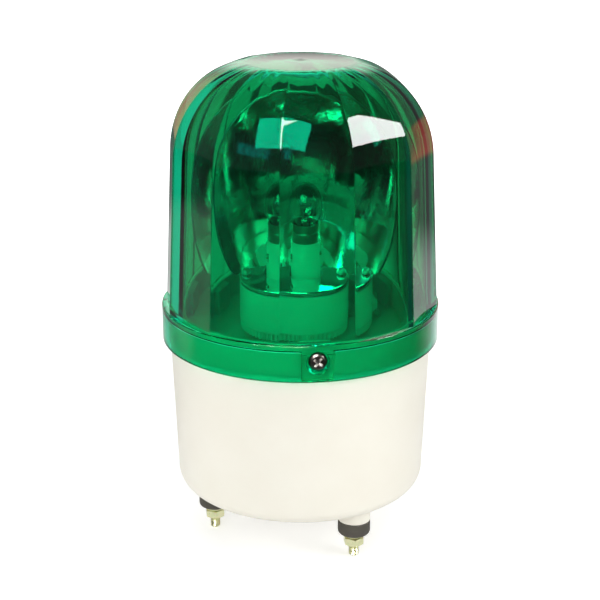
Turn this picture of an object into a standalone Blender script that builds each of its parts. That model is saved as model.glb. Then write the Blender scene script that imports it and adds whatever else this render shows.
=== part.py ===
# Warning beacon with siren: a faceted green lens over a turning parabolic reflector and its lamp,
# on a round cream housing that holds the motor, the driver board and the siren.
# Metres, +Z up. The origin is on the mounting surface under the middle, and the front faces -Y.
import math
from collections import namedtuple

import bmesh
import bpy
from mathutils import Matrix, Vector

# Fits shared by all pieces
seat_gap = 0.0003            # between two faces that rest on each other
bore_clearance = 0.0003      # round a pin, tube or screw in its hole
running_gap = 0.001          # between a turning piece and a fixed one beside it
cut_overrun = 0.001          # how far a cutter passes the face it opens

# Places round the axis, in degrees from the front towards +X
lens_screw_angles = (0.0, 120.0, 240.0)
foot_angles = (30.0, 150.0, 270.0)
chassis_screw_angles = (60.0, 180.0, 300.0)
motor_angle = 120.0
reflector_rest_angle = -6.9  # the reflector stands turned a little to the left
bayonet_angle = 250.0

# Feet: M4 bolt, hex nut, spring washer, rubber foot, boss
foot_circle_share = 0.7149    # of the housing's radius at the bottom
stud_length_showing = 0.0047
bolt_radius = 0.00195
bolt_end_chamfer = 0.0004
hex_width = 0.007
nut_height = 0.0032
nut_chamfer_degrees = 30.0
bolt_head_height = 0.0028
washer_radius = 0.0038
washer_thickness = 0.0009
washer_split = 0.0008
rubber_radius = 0.0062
rubber_height = 0.0055
rubber_edge_radius = 0.0014
foot_boss_radius = 0.0062
foot_boss_height = 0.0066
head_boss_height = 0.0036

# Base housing
base_height = 0.0683
base_radius_top = 0.05        # drives every other width
base_side_taper = 0.0023
base_corner_radius = 0.0056
base_wall = 0.0024
base_floor = 0.0026
post_radius = 0.004
post_circle_share = 0.7966    # of the housing's radius at the bottom
post_rib_width = 0.002
rim_boss_width = 0.012
rim_boss_depth = 0.0065
rim_boss_height = 0.0088
rim_notch_width = 0.0116
rim_notch_depth = 0.002
rim_notch_height = 0.0092

# Siren, and its sound slots in the floor of the base
siren_offset_share = 0.2053  # towards the front, of the feet's circle
siren_share = 0.4985         # of the feet's circle
siren_height = 0.013
siren_wall = 0.0018
siren_ear_gap = 0.0036       # from the siren's side to the middle of an ear
siren_ear_radius = 0.0034
siren_ear_thickness = 0.0024
siren_boss_height = 0.004
siren_disc_thickness = 0.0006
siren_ledge_height = 0.0042
siren_ring_height = 0.0024
siren_port_radius = 0.0035
sound_slot_width = 0.0018
sound_slot_length = 0.0075
sound_slot_start = 0.004
sound_slot_count = 8

# Cable entry
grommet_siren_gap = 0.0017   # from the siren back to the grommet's flange
grommet_bore_radius = 0.0038
grommet_neck_radius = 0.0062
grommet_flange_radius = 0.0078
grommet_flange_height = 0.0018

# Lens
facet_count = 12
skirt_clearance = 0.0005     # between the skirt and the housing
flange_height = 0.0137
flange_edge_radius = 0.0005
skirt_wall = 0.002
ledge_thickness = 0.0027
ledge_width = 0.00055        # of the flange, outside the lens's corners
lens_draft_degrees = 2.82
lens_wall = 0.002
lens_top_wall = 0.0032
shoulder_rise_share = 0.4575 # from the reflector's middle up, of its radius
shoulder_share = 0.6761      # of the lens's radius where the shoulder starts
crown_share = 0.4236         # of the same
crown_rise = 0.0005
round_share = 0.35           # how much of the facets has faded out at the crown
crown_middle_share = 0.75    # of the crown's rise, at half its radius
crown_facet_share = 0.3      # how much of the facets is left there
lens_boss_width = 0.011
counterbore_radius = 0.0042
counterbore_floor = 0.0018
screw_drop = 0.0062          # from the top of the flange down to the screws' axes
gasket_thickness = 0.0012

# Screws
lens_screw_radius = 0.0019
lens_screw_head_radius = 0.0033
lens_screw_head_height = 0.0019
lens_screw_length = 0.0082
small_screw_radius = 0.0014
small_screw_head_radius = 0.0027
small_screw_head_height = 0.0017
small_screw_length = 0.009
siren_screw_length = 0.0055
cross_width = 0.0008
cross_depth = 0.0011
cross_reach_share = 0.62     # of the head's radius
head_edge_share = 0.4        # height of a head's straight edge, of the head's height
head_top_share = 0.7         # radius of a head's flat top, of the head's radius

# Chassis
chassis_thickness = 0.0024
chassis_side_gap = 0.0007    # between the chassis and the housing's wall
chassis_wall = 0.0015
chassis_wall_height = 0.0096
chassis_drop = 0.0084        # from the housing's rim down to the posts' tops
shaft_hole_radius = 0.0035
board_standoff_height = 0.008
board_standoff_radius = 0.0028

# Lamp post, lamp holder and lamp
post_tube_radius = 0.005
post_tube_bore = 0.0036
post_flange_radius = 0.009
post_flange_thickness = 0.002
post_nut_width = 0.013
post_nut_height = 0.0024
thrust_washer_radius = 0.0086
thrust_washer_thickness = 0.0006
rotor_hub_height = 0.0097
holder_wall = 0.00045
holder_length = 0.0192
holder_base = 0.0012
holder_slot_width = 0.0028
holder_slot_depth = 0.0084
holder_slot_turn = 0.0042
lead_hole_radius = 0.001
lead_hole_offset = 0.0021
insulator_height = 0.0025
plunger_radius = 0.0024
plunger_rise = 0.001
lamp_contact_radius = 0.0022
lamp_contact_height = 0.0009
cap_radius = 0.0075
cap_length = 0.0196
cap_wall = 0.0005
cap_plug_height = 0.0105
cap_pin_radius = 0.001
cap_pin_height = 0.0066
cap_pin_show = 0.00065       # past the holder's wall
glass_radius = 0.00925
glass_wall = 0.0005
glass_neck_gap = 0.0004      # inside the cap's bore
glass_neck_length = 0.0034
glass_seat_rise = 0.0064     # from the cap's top edge up to the middle of the bulb
support_radius = 0.0003
support_spread = 0.0028
filament_wire_radius = 0.00016
filament_coil_radius = 0.0006
filament_turns = 5

# Rotor
gear_module = 0.0007
pinion_teeth = 13
motor_place_share = 0.596    # of the chassis radius, before whole teeth are counted
gear_face = 0.003
gear_mesh_play = 0.00025     # added to the distance between the two axes
pressure_angle_degrees = 20.0
tooth_share = 0.8            # of half the pitch that a tooth fills
addendum_share = 0.9         # of the module
dedendum_share = 1.25        # of the module
root_flank_share = 0.8       # how far down to the root a flank keeps its slope
gear_rim_thickness = 0.0016
cup_rim_reach = 0.0009       # past the gear's pitch circle
cup_wall = 0.0018
cup_height = 0.0144
cup_web = 0.002
hub_radius = 0.009
bush_wall = 0.0015
cup_boss_radius = 0.0032
reflector_screw_inset = 0.004
reflector_screw_advance = 0.0015
pinion_hub_radius = 0.0027
pinion_hub_height = 0.0019

# Reflector
reflector_side_gap = 0.01195 # inside the lens's corners
reflector_focus_share = 0.5  # of its radius, so the rim passes over the lamp
reflector_wall = 0.0012
reflector_lip = 0.0012
reflector_floor = 0.002
reflector_web = 0.0016
reflector_web_spread = 0.009
reflector_web_height = 0.012
web_seat_share = 0.7         # how far into the wall a web's tip reaches
focus_rise_share = 0.725     # from the mirror floor up to its middle, of its radius

# Motor
shaft_radius = 0.0015
shaft_end = 0.0024           # past the pinion's hub
shaft_depth = 0.0095         # inside the gearbox
gearbox_radius = 0.0122
gearbox_height = 0.012
motor_radius = 0.0118
motor_length = 0.029
motor_flat_share = 0.84      # distance between the can's flats, of its diameter
motor_cap_radius = 0.0065
motor_cap_height = 0.0016
motor_screw_spread = 0.0087
terminal_width = 0.0022
terminal_thickness = 0.0005
terminal_length = 0.0042
terminal_spread = 0.0078

# Driver board
board_thickness = 0.0016
board_side_gap = 0.0089      # inside the chassis
board_right = 0.003
board_front_share = 0.2985   # of the chassis radius
board_back = 0.021
board_corner = 0.006
board_hole_inset = 0.004
terminal_block_width = 0.008
terminal_block_length = 0.022
terminal_block_height = 0.0095
terminal_way_count = 4
terminal_way_width = 0.0036
capacitor_radius = 0.005
capacitor_height = 0.013
chip_width = 0.0075
chip_length = 0.012
chip_height = 0.0035
chip_inset = 0.001

# Internal leads
lead_radius = 0.0007
lead_step = 0.0035           # between points along a lead

# Finishes
Finish = namedtuple("Finish", "colour roughness metallic transmission", defaults=(0, 0))
cream = Finish((0.88, 0.85, 0.76), 0.42)
lens_green = Finish((0.01, 0.55, 0.28), 0.03, transmission=1)
rubber_black = Finish((0.03, 0.028, 0.024), 0.75)
zinc_yellow = Finish((0.78, 0.74, 0.32), 0.32, metallic=1)
bright_steel = Finish((0.62, 0.62, 0.6), 0.3, metallic=1)
dark_steel = Finish((0.2, 0.18, 0.16), 0.35, metallic=1)
tungsten = Finish((0.3, 0.3, 0.32), 0.4, metallic=1)
nickel = Finish((0.7, 0.68, 0.63), 0.3, metallic=1)
brass = Finish((0.72, 0.55, 0.25), 0.35, metallic=1)
mirror_coat = Finish((0.85, 0.86, 0.87), 0.06, metallic=1)
clear_glass = Finish((0.95, 0.97, 0.97), 0.02, transmission=1)
black_plastic = Finish((0.02, 0.02, 0.022), 0.5)
grey_plastic = Finish((0.08, 0.08, 0.085), 0.5)
white_plastic = Finish((0.86, 0.87, 0.85), 0.45)
brown_laminate = Finish((0.25, 0.1, 0.04), 0.55)
board_green = Finish((0.03, 0.2, 0.08), 0.4)
terminal_green = Finish((0.05, 0.22, 0.12), 0.45)
sleeve_blue = Finish((0.03, 0.05, 0.16), 0.35)
lead_red = Finish((0.5, 0.02, 0.02), 0.5)
lead_blue = Finish((0.02, 0.05, 0.3), 0.5)
lead_black = Finish((0.02, 0.02, 0.02), 0.5)

# Facets of round shapes
lens_sides = 48
base_sides = 40
round_sides = 20
hidden_sides = 16
small_sides = 12
screw_sides = 8
wire_sides = 6
smooth_angle_degrees = 28

# Widths, worked out from the housing's
base_radius_bottom = base_radius_top - base_side_taper
foot_circle_radius = base_radius_bottom * foot_circle_share
post_circle_radius = base_radius_bottom * post_circle_share
siren_radius = foot_circle_radius * siren_share
siren_offset = foot_circle_radius * siren_offset_share
siren_ear_reach = siren_radius + siren_ear_gap
grommet_offset = siren_radius - siren_offset + grommet_siren_gap + grommet_flange_radius
chassis_radius = base_radius_top - base_wall - chassis_side_gap
board_left = chassis_radius - board_side_gap
board_front = chassis_radius * board_front_share
motor_reach = chassis_radius * motor_place_share - gear_mesh_play
gear_teeth = int(2 * motor_reach / gear_module) - pinion_teeth
gear_pitch_radius = gear_module * gear_teeth / 2
pinion_pitch_radius = gear_module * pinion_teeth / 2
motor_distance = gear_pitch_radius + pinion_pitch_radius + gear_mesh_play
cup_radius = gear_pitch_radius + cup_rim_reach
reflector_screw_spread = cup_radius - reflector_screw_inset
flange_radius = base_radius_top + skirt_clearance + skirt_wall
lens_radius = flange_radius - ledge_width    # over the corners, where it meets the flange
reflector_radius = lens_radius - reflector_side_gap
reflector_focus = reflector_radius * reflector_focus_share

holder_radius = cap_radius + bore_clearance + holder_wall
cap_pin_reach = holder_radius + cap_pin_show
glass_neck_radius = cap_radius - cap_wall - glass_neck_gap

# Heights, worked out from the bottom up
nut_bottom = stud_length_showing
nut_top = nut_bottom + nut_height
washer_bottom = nut_top + seat_gap
washer_top = washer_bottom + washer_thickness
rubber_bottom = washer_top + seat_gap
rubber_top = rubber_bottom + rubber_height
foot_boss_bottom = rubber_top + seat_gap
base_bottom = foot_boss_bottom + foot_boss_height
base_inside = base_bottom + base_floor
base_top = base_bottom + base_height
bolt_head_bottom = base_inside + seat_gap
gasket_bottom = base_top + seat_gap
gasket_top = gasket_bottom + gasket_thickness
ledge_bottom = gasket_top + seat_gap
flange_top = ledge_bottom + ledge_thickness
flange_bottom = flange_top - flange_height
screw_height = flange_top - screw_drop
post_top = base_top - chassis_drop
chassis_bottom = post_top + seat_gap
chassis_top = chassis_bottom + chassis_thickness
chassis_rim = chassis_top + chassis_wall_height
post_flange_top = chassis_bottom - seat_gap
post_flange_bottom = post_flange_top - post_flange_thickness
post_nut_bottom = chassis_top + seat_gap
post_nut_top = post_nut_bottom + post_nut_height
thrust_bottom = post_nut_top + seat_gap
thrust_top = thrust_bottom + thrust_washer_thickness
hub_bottom = thrust_top + seat_gap
hub_top = hub_bottom + rotor_hub_height
gear_bottom = chassis_top + running_gap
gear_top = gear_bottom + gear_face           # just inside the cup's floor
cup_top = hub_bottom + cup_height
mirror_bottom = cup_top + seat_gap
mirror_top = mirror_bottom + reflector_floor
focus_height = mirror_top + reflector_radius * focus_rise_share
shoulder_bottom = focus_height + reflector_radius * shoulder_rise_share
post_tube_top = hub_top + running_gap - seat_gap
holder_bottom = post_tube_top + seat_gap
holder_inside = holder_bottom + holder_base
holder_top = holder_bottom + holder_length
insulator_bottom = holder_inside + seat_gap
insulator_top = insulator_bottom + insulator_height
plunger_top = insulator_top + plunger_rise
contact_bottom = plunger_top + seat_gap
contact_top = contact_bottom + lamp_contact_height
cap_bottom = contact_top + seat_gap
cap_top = cap_bottom + cap_length
glass_middle = cap_top + glass_seat_rise
siren_bottom = base_inside + seat_gap
siren_top = siren_bottom + siren_height
siren_ear_bottom = base_inside + siren_boss_height + seat_gap
siren_ear_top = siren_ear_bottom + siren_ear_thickness
gearbox_top = chassis_bottom - seat_gap
gearbox_bottom = gearbox_top - gearbox_height
motor_top = gearbox_bottom - seat_gap
motor_bottom = motor_top - motor_length
board_top = chassis_bottom - board_standoff_height - seat_gap
board_bottom = board_top - board_thickness
parts_top = board_bottom - seat_gap

# Distances worked out from the sizes above
lens_draft = math.tan(math.radians(lens_draft_degrees))
half_facet = math.pi / facet_count
shoulder_start_radius = lens_radius - (shoulder_bottom - flange_top) * lens_draft
shoulder_radius = shoulder_start_radius * shoulder_share
shoulder_middle_radius = shoulder_start_radius - shoulder_radius
crown_radius = shoulder_start_radius * crown_share
base_draft = (base_radius_top - base_radius_bottom) / (base_height - base_corner_radius)
notch_radius = base_radius_top - rim_notch_depth
siren_place = Vector((0, -siren_offset, 0))
grommet_place = Vector((0, grommet_offset, 0))


def around(angle_degrees, radius):
    """Point on a circle about the axis, counted from the front towards +X."""
    angle = math.radians(angle_degrees)
    return Vector((radius * math.sin(angle), -radius * math.cos(angle), 0))


def turn(angle_degrees):
    return Matrix.Rotation(math.radians(angle_degrees), 4, "Z")


motor_place = around(motor_angle, motor_distance)


# Modelling helpers

def to_object(name, bm):
    bmesh.ops.recalc_face_normals(bm, faces=bm.faces)
    mesh = bpy.data.meshes.new(name)
    bm.to_mesh(mesh)
    bm.free()
    made = bpy.data.objects.new(name, mesh)
    bpy.context.scene.collection.objects.link(made)
    return made


def turned(name, profile, sides=round_sides):
    """Spins a closed outline of (radius, height) points about the axis."""
    bm = bmesh.new()
    points = [bm.verts.new((radius, 0, height)) for radius, height in profile]
    edges = [bm.edges.new((points[i - 1], points[i])) for i in range(len(points))]
    bmesh.ops.spin(bm, geom=points + edges, cent=(0, 0, 0), axis=(0, 0, 1),
                   angle=2 * math.pi, steps=sides, use_merge=True)
    bmesh.ops.remove_doubles(bm, verts=bm.verts, dist=cut_overrun / 100)
    loose = [edge for edge in bm.edges if not edge.link_faces]
    bmesh.ops.delete(bm, geom=loose, context="EDGES")
    return to_object(name, bm)


def skinned(name, rings):
    """Joins rings of points into a closed skin. A ring of one point is a pole."""
    bm = bmesh.new()
    loops = [[bm.verts.new(point) for point in ring] for ring in rings]
    for first, second in zip(loops, loops[1:] + loops[:1]):
        if len(first) == 1 and len(second) == 1:
            continue
        count = max(len(first), len(second))
        for i in range(count):
            j = (i + 1) % count
            corners = [first[i % len(first)], first[j % len(first)],
                       second[j % len(second)], second[i % len(second)]]
            bm.faces.new(list(dict.fromkeys(corners)))
    return to_object(name, bm)


def prism(name, outline, bottom, top):
    """Extrudes an outline of (x, y) points between two heights."""
    bm = bmesh.new()
    face = bm.faces.new([bm.verts.new((x, y, bottom)) for x, y in outline])
    raised = bmesh.ops.extrude_face_region(bm, geom=[face])["geom"]
    lifted = [item for item in raised if isinstance(item, bmesh.types.BMVert)]
    bmesh.ops.translate(bm, verts=lifted, vec=(0, 0, top - bottom))
    return to_object(name, bm)


def disc_outline(radius, sides, centre=(0, 0), start=0.0):
    step = 2 * math.pi / sides
    return [(centre[0] + radius * math.cos(start + i * step),
             centre[1] + radius * math.sin(start + i * step)) for i in range(sides)]


def rod(name, radius, bottom, top, place=(0, 0, 0), sides=small_sides):
    return prism(name, disc_outline(radius, sides, (place[0], place[1])), bottom, top)


def bore(radius, bottom, top, place=(0, 0, 0)):
    return rod("bore", radius, bottom, top, place, screw_sides)


def hexagon(name, width, bottom, top, place=(0, 0, 0)):
    corner = width / math.sqrt(3)
    return prism(name, disc_outline(corner, 6, (place[0], place[1])), bottom, top)


def block(name, low, high):
    """A box between two corners."""
    outline = [(low[0], low[1]), (high[0], low[1]), (high[0], high[1]), (low[0], high[1])]
    return prism(name, outline, low[2], high[2])


def upright(name, outline, width):
    """Extrudes an outline of (y, height) points to both sides along X."""
    piece = prism(name, outline, -width / 2, width / 2)
    piece.data.transform(Matrix(((0, 0, 1, 0), (1, 0, 0, 0), (0, 1, 0, 0), (0, 0, 0, 1))))
    return piece


def moved(piece, matrix):
    piece.data.transform(matrix)
    return piece


def combine(target, tool, operation):
    """Applies one exact Boolean to the target and takes the tool away."""
    change = target.modifiers.new(operation.lower(), "BOOLEAN")
    change.operation = operation
    change.solver = "EXACT"
    change.object = tool
    graph = bpy.context.evaluated_depsgraph_get()
    mesh = bpy.data.meshes.new_from_object(target.evaluated_get(graph))
    target.modifiers.clear()
    target.data = mesh
    bpy.data.objects.remove(tool, do_unlink=True)
    return target


def cut(target, *tools):
    for tool in tools:
        combine(target, tool, "DIFFERENCE")
    return target


def weld(target, *tools):
    for tool in tools:
        combine(target, tool, "UNION")
    return target


def repeated(piece, matrices, finish, carrier=None):
    """Sets a numbered copy of the piece at each place. The copies share its mesh."""
    name = piece.name
    finished(piece, finish, carrier)
    for number, matrix in enumerate(matrices, 1):
        copy = piece if number == 1 else piece.copy()
        copy.name = f"{name}_{number}"
        copy.matrix_local = matrix
        if number > 1:
            bpy.context.scene.collection.objects.link(copy)


def finished(piece, finish, carrier=None):
    """Shades the piece, gives it its material and hangs it on its carrier."""
    piece.data.shade_smooth()
    piece.data.set_sharp_from_angle(angle=math.radians(smooth_angle_degrees))
    material = bpy.data.materials.new(piece.name + "_finish")
    material.use_nodes = True
    shader = material.node_tree.nodes["Principled BSDF"]
    shader.inputs["Base Color"].default_value = (*finish.colour, 1)
    shader.inputs["Roughness"].default_value = finish.roughness
    shader.inputs["Metallic"].default_value = finish.metallic
    shader.inputs["Transmission Weight"].default_value = finish.transmission
    piece.data.materials.clear()
    piece.data.materials.append(material)
    piece.parent = carrier
    return piece



# Feet

def rounded_corner(radius, height, corner, steps, upward):
    """Points of an outside corner, from the flat round to the side."""
    points = []
    for i in range(steps + 1):
        angle = math.pi / 2 * i / steps
        inward = corner * (1 - math.sin(angle))
        drop = corner * (1 - math.cos(angle))
        points.append((radius - inward, height + drop if upward else height - drop))
    return points


def foot_place(angle):
    return turn(angle) @ Matrix.Translation((0, -foot_circle_radius, 0))


def nut_ring(flat, corner, height, rise):
    """Ring round a hexagon. The chamfer is lower at the corners than at the flats."""
    ring = []
    for i in range(12):
        radius, drop = (corner, rise) if i % 2 else (flat, rise / 4)
        point = around(30 * i, radius)
        ring.append((point.x, point.y, height + drop))
    return ring


def make_feet():
    bolt_hole = bolt_radius + bore_clearance
    places = [foot_place(angle) for angle in foot_angles]
    bolt = turned("foot_bolt", [
        (0, 0),
        (bolt_radius - bolt_end_chamfer, 0),
        (bolt_radius, bolt_end_chamfer),
        (bolt_radius, bolt_head_bottom + cut_overrun),
        (0, bolt_head_bottom + cut_overrun)], small_sides)
    weld(bolt, hexagon("head", hex_width, bolt_head_bottom, bolt_head_bottom + bolt_head_height))
    repeated(bolt, places, zinc_yellow)

    flat, corner = hex_width / 2, hex_width / math.sqrt(3)
    rise = (corner - flat) * math.tan(math.radians(nut_chamfer_degrees))
    nut = skinned("foot_nut", [
        nut_ring(bolt_hole, bolt_hole, nut_bottom, 0),
        nut_ring(flat, flat, nut_bottom, 0),
        nut_ring(flat, corner, nut_bottom, rise),
        nut_ring(flat, corner, nut_top, -rise),
        nut_ring(flat, flat, nut_top, 0),
        nut_ring(bolt_hole, bolt_hole, nut_top, 0)])
    repeated(nut, places, zinc_yellow)

    washer = turned("foot_washer", [
        (bolt_hole, washer_bottom),
        (washer_radius, washer_bottom),
        (washer_radius, washer_top),
        (bolt_hole, washer_top)], small_sides)
    cut(washer, block("split", (0, -washer_split / 2, washer_bottom - cut_overrun),
                      (washer_radius + cut_overrun, washer_split / 2, washer_top + cut_overrun)))
    repeated(washer, places, zinc_yellow)

    edge = rounded_corner(rubber_radius, rubber_bottom, rubber_edge_radius, 2, True)
    rubber = turned("rubber_foot", [
        (bolt_hole, rubber_bottom), *edge,
        (rubber_radius, rubber_top), (bolt_hole, rubber_top)], round_sides)
    repeated(rubber, places, rubber_black)


# Base housing

def base_radius(height):
    return base_radius_top - (base_top - height) * base_draft


def make_base():
    corner_top = base_bottom + base_corner_radius
    outer = [(0, base_bottom)]
    outer += rounded_corner(base_radius(corner_top), base_bottom, base_corner_radius, 3, True)
    outer.append((base_radius_top, base_top))
    inner_corner = base_corner_radius - base_wall
    inner_radius = base_radius(base_inside + inner_corner) - base_wall
    inner = [(base_radius_top - base_wall, base_top)]
    inner += reversed(rounded_corner(inner_radius, base_inside, inner_corner, 1, True))
    inner.append((0, base_inside))
    base = turned("base_housing", outer + inner, lens_sides)

    bolt_hole = bolt_radius + bore_clearance
    for angle in foot_angles:
        place = around(angle, foot_circle_radius)
        weld(base,
             rod("boss", foot_boss_radius, foot_boss_bottom, base_inside + head_boss_height, place))
        cut(base,
            moved(hexagon("pocket", hex_width + 2 * bore_clearance, base_inside,
                          base_inside + head_boss_height + cut_overrun), foot_place(angle)),
            rod("hole", bolt_hole, foot_boss_bottom - cut_overrun, base_inside + cut_overrun, place))

    for angle in chassis_screw_angles:
        place = around(angle, post_circle_radius)
        rib_top = post_top - post_radius
        rib = upright("rib", [
            (-post_circle_radius, base_inside - base_floor / 2),
            (base_corner_radius - base_radius_bottom, base_inside - base_floor / 2),
            (base_wall / 2 - base_radius(corner_top), corner_top),
            (base_wall / 2 - base_radius(rib_top), rib_top),
            (-post_circle_radius, rib_top)], post_rib_width)
        weld(base, rod("post", post_radius, base_inside - base_floor / 2, post_top, place),
             moved(rib, turn(angle)))
        cut(base, bore(small_screw_radius + bore_clearance,
                      post_top - small_screw_length, post_top + cut_overrun, place))

    boss_inner = base_radius_top - base_wall - rim_boss_depth
    for angle in lens_screw_angles:
        boss = upright("boss", [
            (-boss_inner, screw_height - rim_boss_height / 2),
            (base_wall / 2 - base_radius_top, screw_height - rim_boss_height / 2),
            (base_wall / 2 - base_radius_top, base_top - seat_gap),
            (base_wall + 4 * seat_gap - base_radius_top, base_top - seat_gap),
            (base_wall + 4 * seat_gap - base_radius_top, screw_height + rim_boss_height / 2),
            (-boss_inner, screw_height + rim_boss_height / 2)], rim_boss_width)
        notch = block("notch", (-rim_notch_width / 2, -flange_radius, base_top - rim_notch_height),
                      (rim_notch_width / 2, -notch_radius, gasket_top))
        moved(boss, turn(angle))
        moved(notch, turn(angle))
        weld(base, boss)
        cut(base, notch)
        hole = bore(lens_screw_radius + bore_clearance, boss_inner - cut_overrun, flange_radius)
        cut(base, moved(hole, screw_turn(angle)))

    floor_low = base_bottom - cut_overrun
    floor_high = base_inside + cut_overrun
    for side in (-1, 1):
        place = siren_place + Vector((side * siren_ear_reach, 0, 0))
        weld(base, rod("boss", siren_ear_radius, base_inside - base_floor / 2,
                       base_inside + siren_boss_height, place))
        cut(base, bore(small_screw_radius + bore_clearance, base_inside - base_floor / 2,
                      base_inside + siren_boss_height + cut_overrun, place))
    for i in range(sound_slot_count):
        slot = block("slot", (-sound_slot_width / 2, sound_slot_start, floor_low),
                     (sound_slot_width / 2, sound_slot_start + sound_slot_length, floor_high))
        moved(slot, Matrix.Translation(siren_place) @ turn(360 * i / sound_slot_count))
        cut(base, slot)
    cut(base, rod("cable_hole", grommet_neck_radius + bore_clearance, floor_low, floor_high,
                  grommet_place, hidden_sides))
    finished(base, cream)


def screw_turn(angle):
    """Lays a piece that stands on the axis outwards along a screw's axis."""
    return turn(angle) @ Matrix.Translation((0, 0, screw_height)) @ Matrix.Rotation(math.pi / 2, 4, "X")


# Screws

def pan_screw(name, head_bottom, shank_radius, head_radius, head_height, length, upward=True):
    """A pan head screw about the axis, its shank running down from its head."""
    way = 1 if upward else -1
    outline = [(0, head_bottom - way * length),
               (shank_radius, head_bottom - way * (length - shank_radius)),
               (shank_radius, head_bottom),
               (head_radius, head_bottom),
               (head_radius, head_bottom + way * head_height * head_edge_share),
               (head_radius * head_top_share, head_bottom + way * head_height),
               (0, head_bottom + way * head_height)]
    return turned(name, outline, screw_sides)


def cross_recess(screw, face, head_radius):
    """Cuts the cross for the driver into the top of a head."""
    reach = head_radius * cross_reach_share
    half = cross_width / 2
    low = face - cross_depth
    high = face + cut_overrun
    cross = weld(block("cross", (-reach, -half, low), (reach, half, high)),
                 block("cross", (-half, -reach, low), (half, reach, high)))
    return cut(screw, cross)


def small_screw(name, seat, length=small_screw_length, upward=True):
    return pan_screw(name, seat, small_screw_radius, small_screw_head_radius,
                     small_screw_head_height, length, upward)


def make_lens_screws():
    head_seat = flange_radius - lens_seat_depth() + seat_gap
    screw = pan_screw("lens_screw", head_seat, lens_screw_radius, lens_screw_head_radius,
                      lens_screw_head_height, lens_screw_length)
    cross_recess(screw, head_seat + lens_screw_head_height, lens_screw_head_radius)
    repeated(screw, [screw_turn(angle) for angle in lens_screw_angles], dark_steel)


def lens_seat_depth():
    """From the flange's face in to the floor of a counterbore."""
    return flange_radius - (notch_radius + seat_gap + counterbore_floor)


# Lens

def facet_reach(angle_degrees, share):
    """Distance to a facet's face, as a share of the distance to its corners."""
    step = 360 / facet_count
    away = (angle_degrees + step / 2) % step - step / 2
    flat = math.cos(half_facet) / math.cos(math.radians(away))
    return 1 + share * (flat - 1)


def lens_ring(radius, height, share):
    ring = []
    for i in range(lens_sides):
        angle = 360 * i / lens_sides
        point = around(angle, radius * facet_reach(angle, share))
        ring.append((point.x, point.y, height))
    return ring


def lens_outside():
    """Rings of the outer face, from the skirt's lower edge up to the crown."""
    edge = flange_edge_radius
    rings = [lens_ring(flange_radius, flange_bottom, 0),
             lens_ring(flange_radius, flange_top - edge, 0),
             lens_ring(flange_radius - edge, flange_top, 0),
             lens_ring(lens_radius, flange_top, 1)]
    last = math.acos((crown_radius - shoulder_middle_radius) / shoulder_radius)
    steps = 5
    for i in range(steps + 1):
        angle = last * i / steps
        radius = shoulder_middle_radius + shoulder_radius * math.cos(angle)
        height = shoulder_bottom + shoulder_radius * math.sin(angle)
        rings.append(lens_ring(radius, height, 1 - round_share * i / steps))
    crown_bottom = shoulder_bottom + shoulder_radius * math.sin(last)
    rings.append(lens_ring(crown_radius / 2, crown_bottom + crown_rise * crown_middle_share,
                           crown_facet_share))
    rings.append([(0, 0, crown_bottom + crown_rise)])
    return rings


def lens_bore(height):
    """Radius of the round inner face of the side wall."""
    return (lens_radius - (height - flange_top) * lens_draft) * math.cos(half_facet) - lens_wall


def lens_inside():
    """Rings of the inner face, from the crown down to the skirt's lower edge."""
    inner_shoulder = lens_bore(shoulder_bottom) - shoulder_middle_radius
    last = math.acos((crown_radius - shoulder_middle_radius) / shoulder_radius)
    inner_top = shoulder_bottom + shoulder_radius * math.sin(last) + crown_rise - lens_top_wall
    steps = 4
    rings = [[(0, 0, inner_top)]]
    rise = inner_top - shoulder_bottom
    for i in range(1, steps + 1):
        angle = math.pi / 2 * (1 - i / steps)
        radius = shoulder_middle_radius + inner_shoulder * math.cos(angle)
        rings.append(lens_ring(radius, shoulder_bottom + rise * math.sin(angle), 0))
    rings.insert(1, lens_ring(shoulder_middle_radius, inner_top, 0))
    skirt_bore = flange_radius - skirt_wall
    rings.append(lens_ring(lens_bore(ledge_bottom), ledge_bottom, 0))
    rings.append(lens_ring(skirt_bore, ledge_bottom, 0))
    rings.append(lens_ring(skirt_bore, flange_bottom, 0))
    return rings


def make_lens():
    lens = skinned("lens", lens_outside() + lens_inside())
    seat = notch_radius + seat_gap
    counterbore = seat + counterbore_floor
    for angle in lens_screw_angles:
        boss = block("boss", (-lens_boss_width / 2, -(flange_radius - skirt_wall / 2),
                              base_top - rim_notch_height + seat_gap),
                     (lens_boss_width / 2, -seat, ledge_bottom + ledge_thickness / 3))
        weld(lens, moved(boss, turn(angle)))
        cut(lens,
            moved(rod("counterbore", counterbore_radius, counterbore,
                      flange_radius + cut_overrun, sides=round_sides), screw_turn(angle)),
            moved(bore(lens_screw_radius + bore_clearance, seat - cut_overrun,
                      counterbore + cut_overrun), screw_turn(angle)))
    finished(lens, lens_green)


def make_gasket():
    inner = base_radius_top - base_wall
    gasket = turned("lens_gasket", [
        (inner, gasket_bottom), (base_radius_top, gasket_bottom),
        (base_radius_top, gasket_top), (inner, gasket_top)], base_sides)
    for angle in lens_screw_angles:
        half = rim_boss_width / 2 + seat_gap
        tool = block("notch", (-half, -flange_radius, gasket_bottom - cut_overrun),
                     (half, -(inner + base_wall / 5), gasket_top + cut_overrun))
        cut(gasket, moved(tool, turn(angle)))
    finished(gasket, rubber_black)


# Chassis

def board_hole_places():
    inset = board_hole_inset
    return [Vector((-board_left + inset, -board_front + 2 * inset, 0)),
            Vector((-board_right - inset, board_back - inset, 0))]


def motor_screw_places():
    side = turn(motor_angle) @ Vector((motor_screw_spread, 0, 0))
    return [motor_place + side, motor_place - side]


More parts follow.
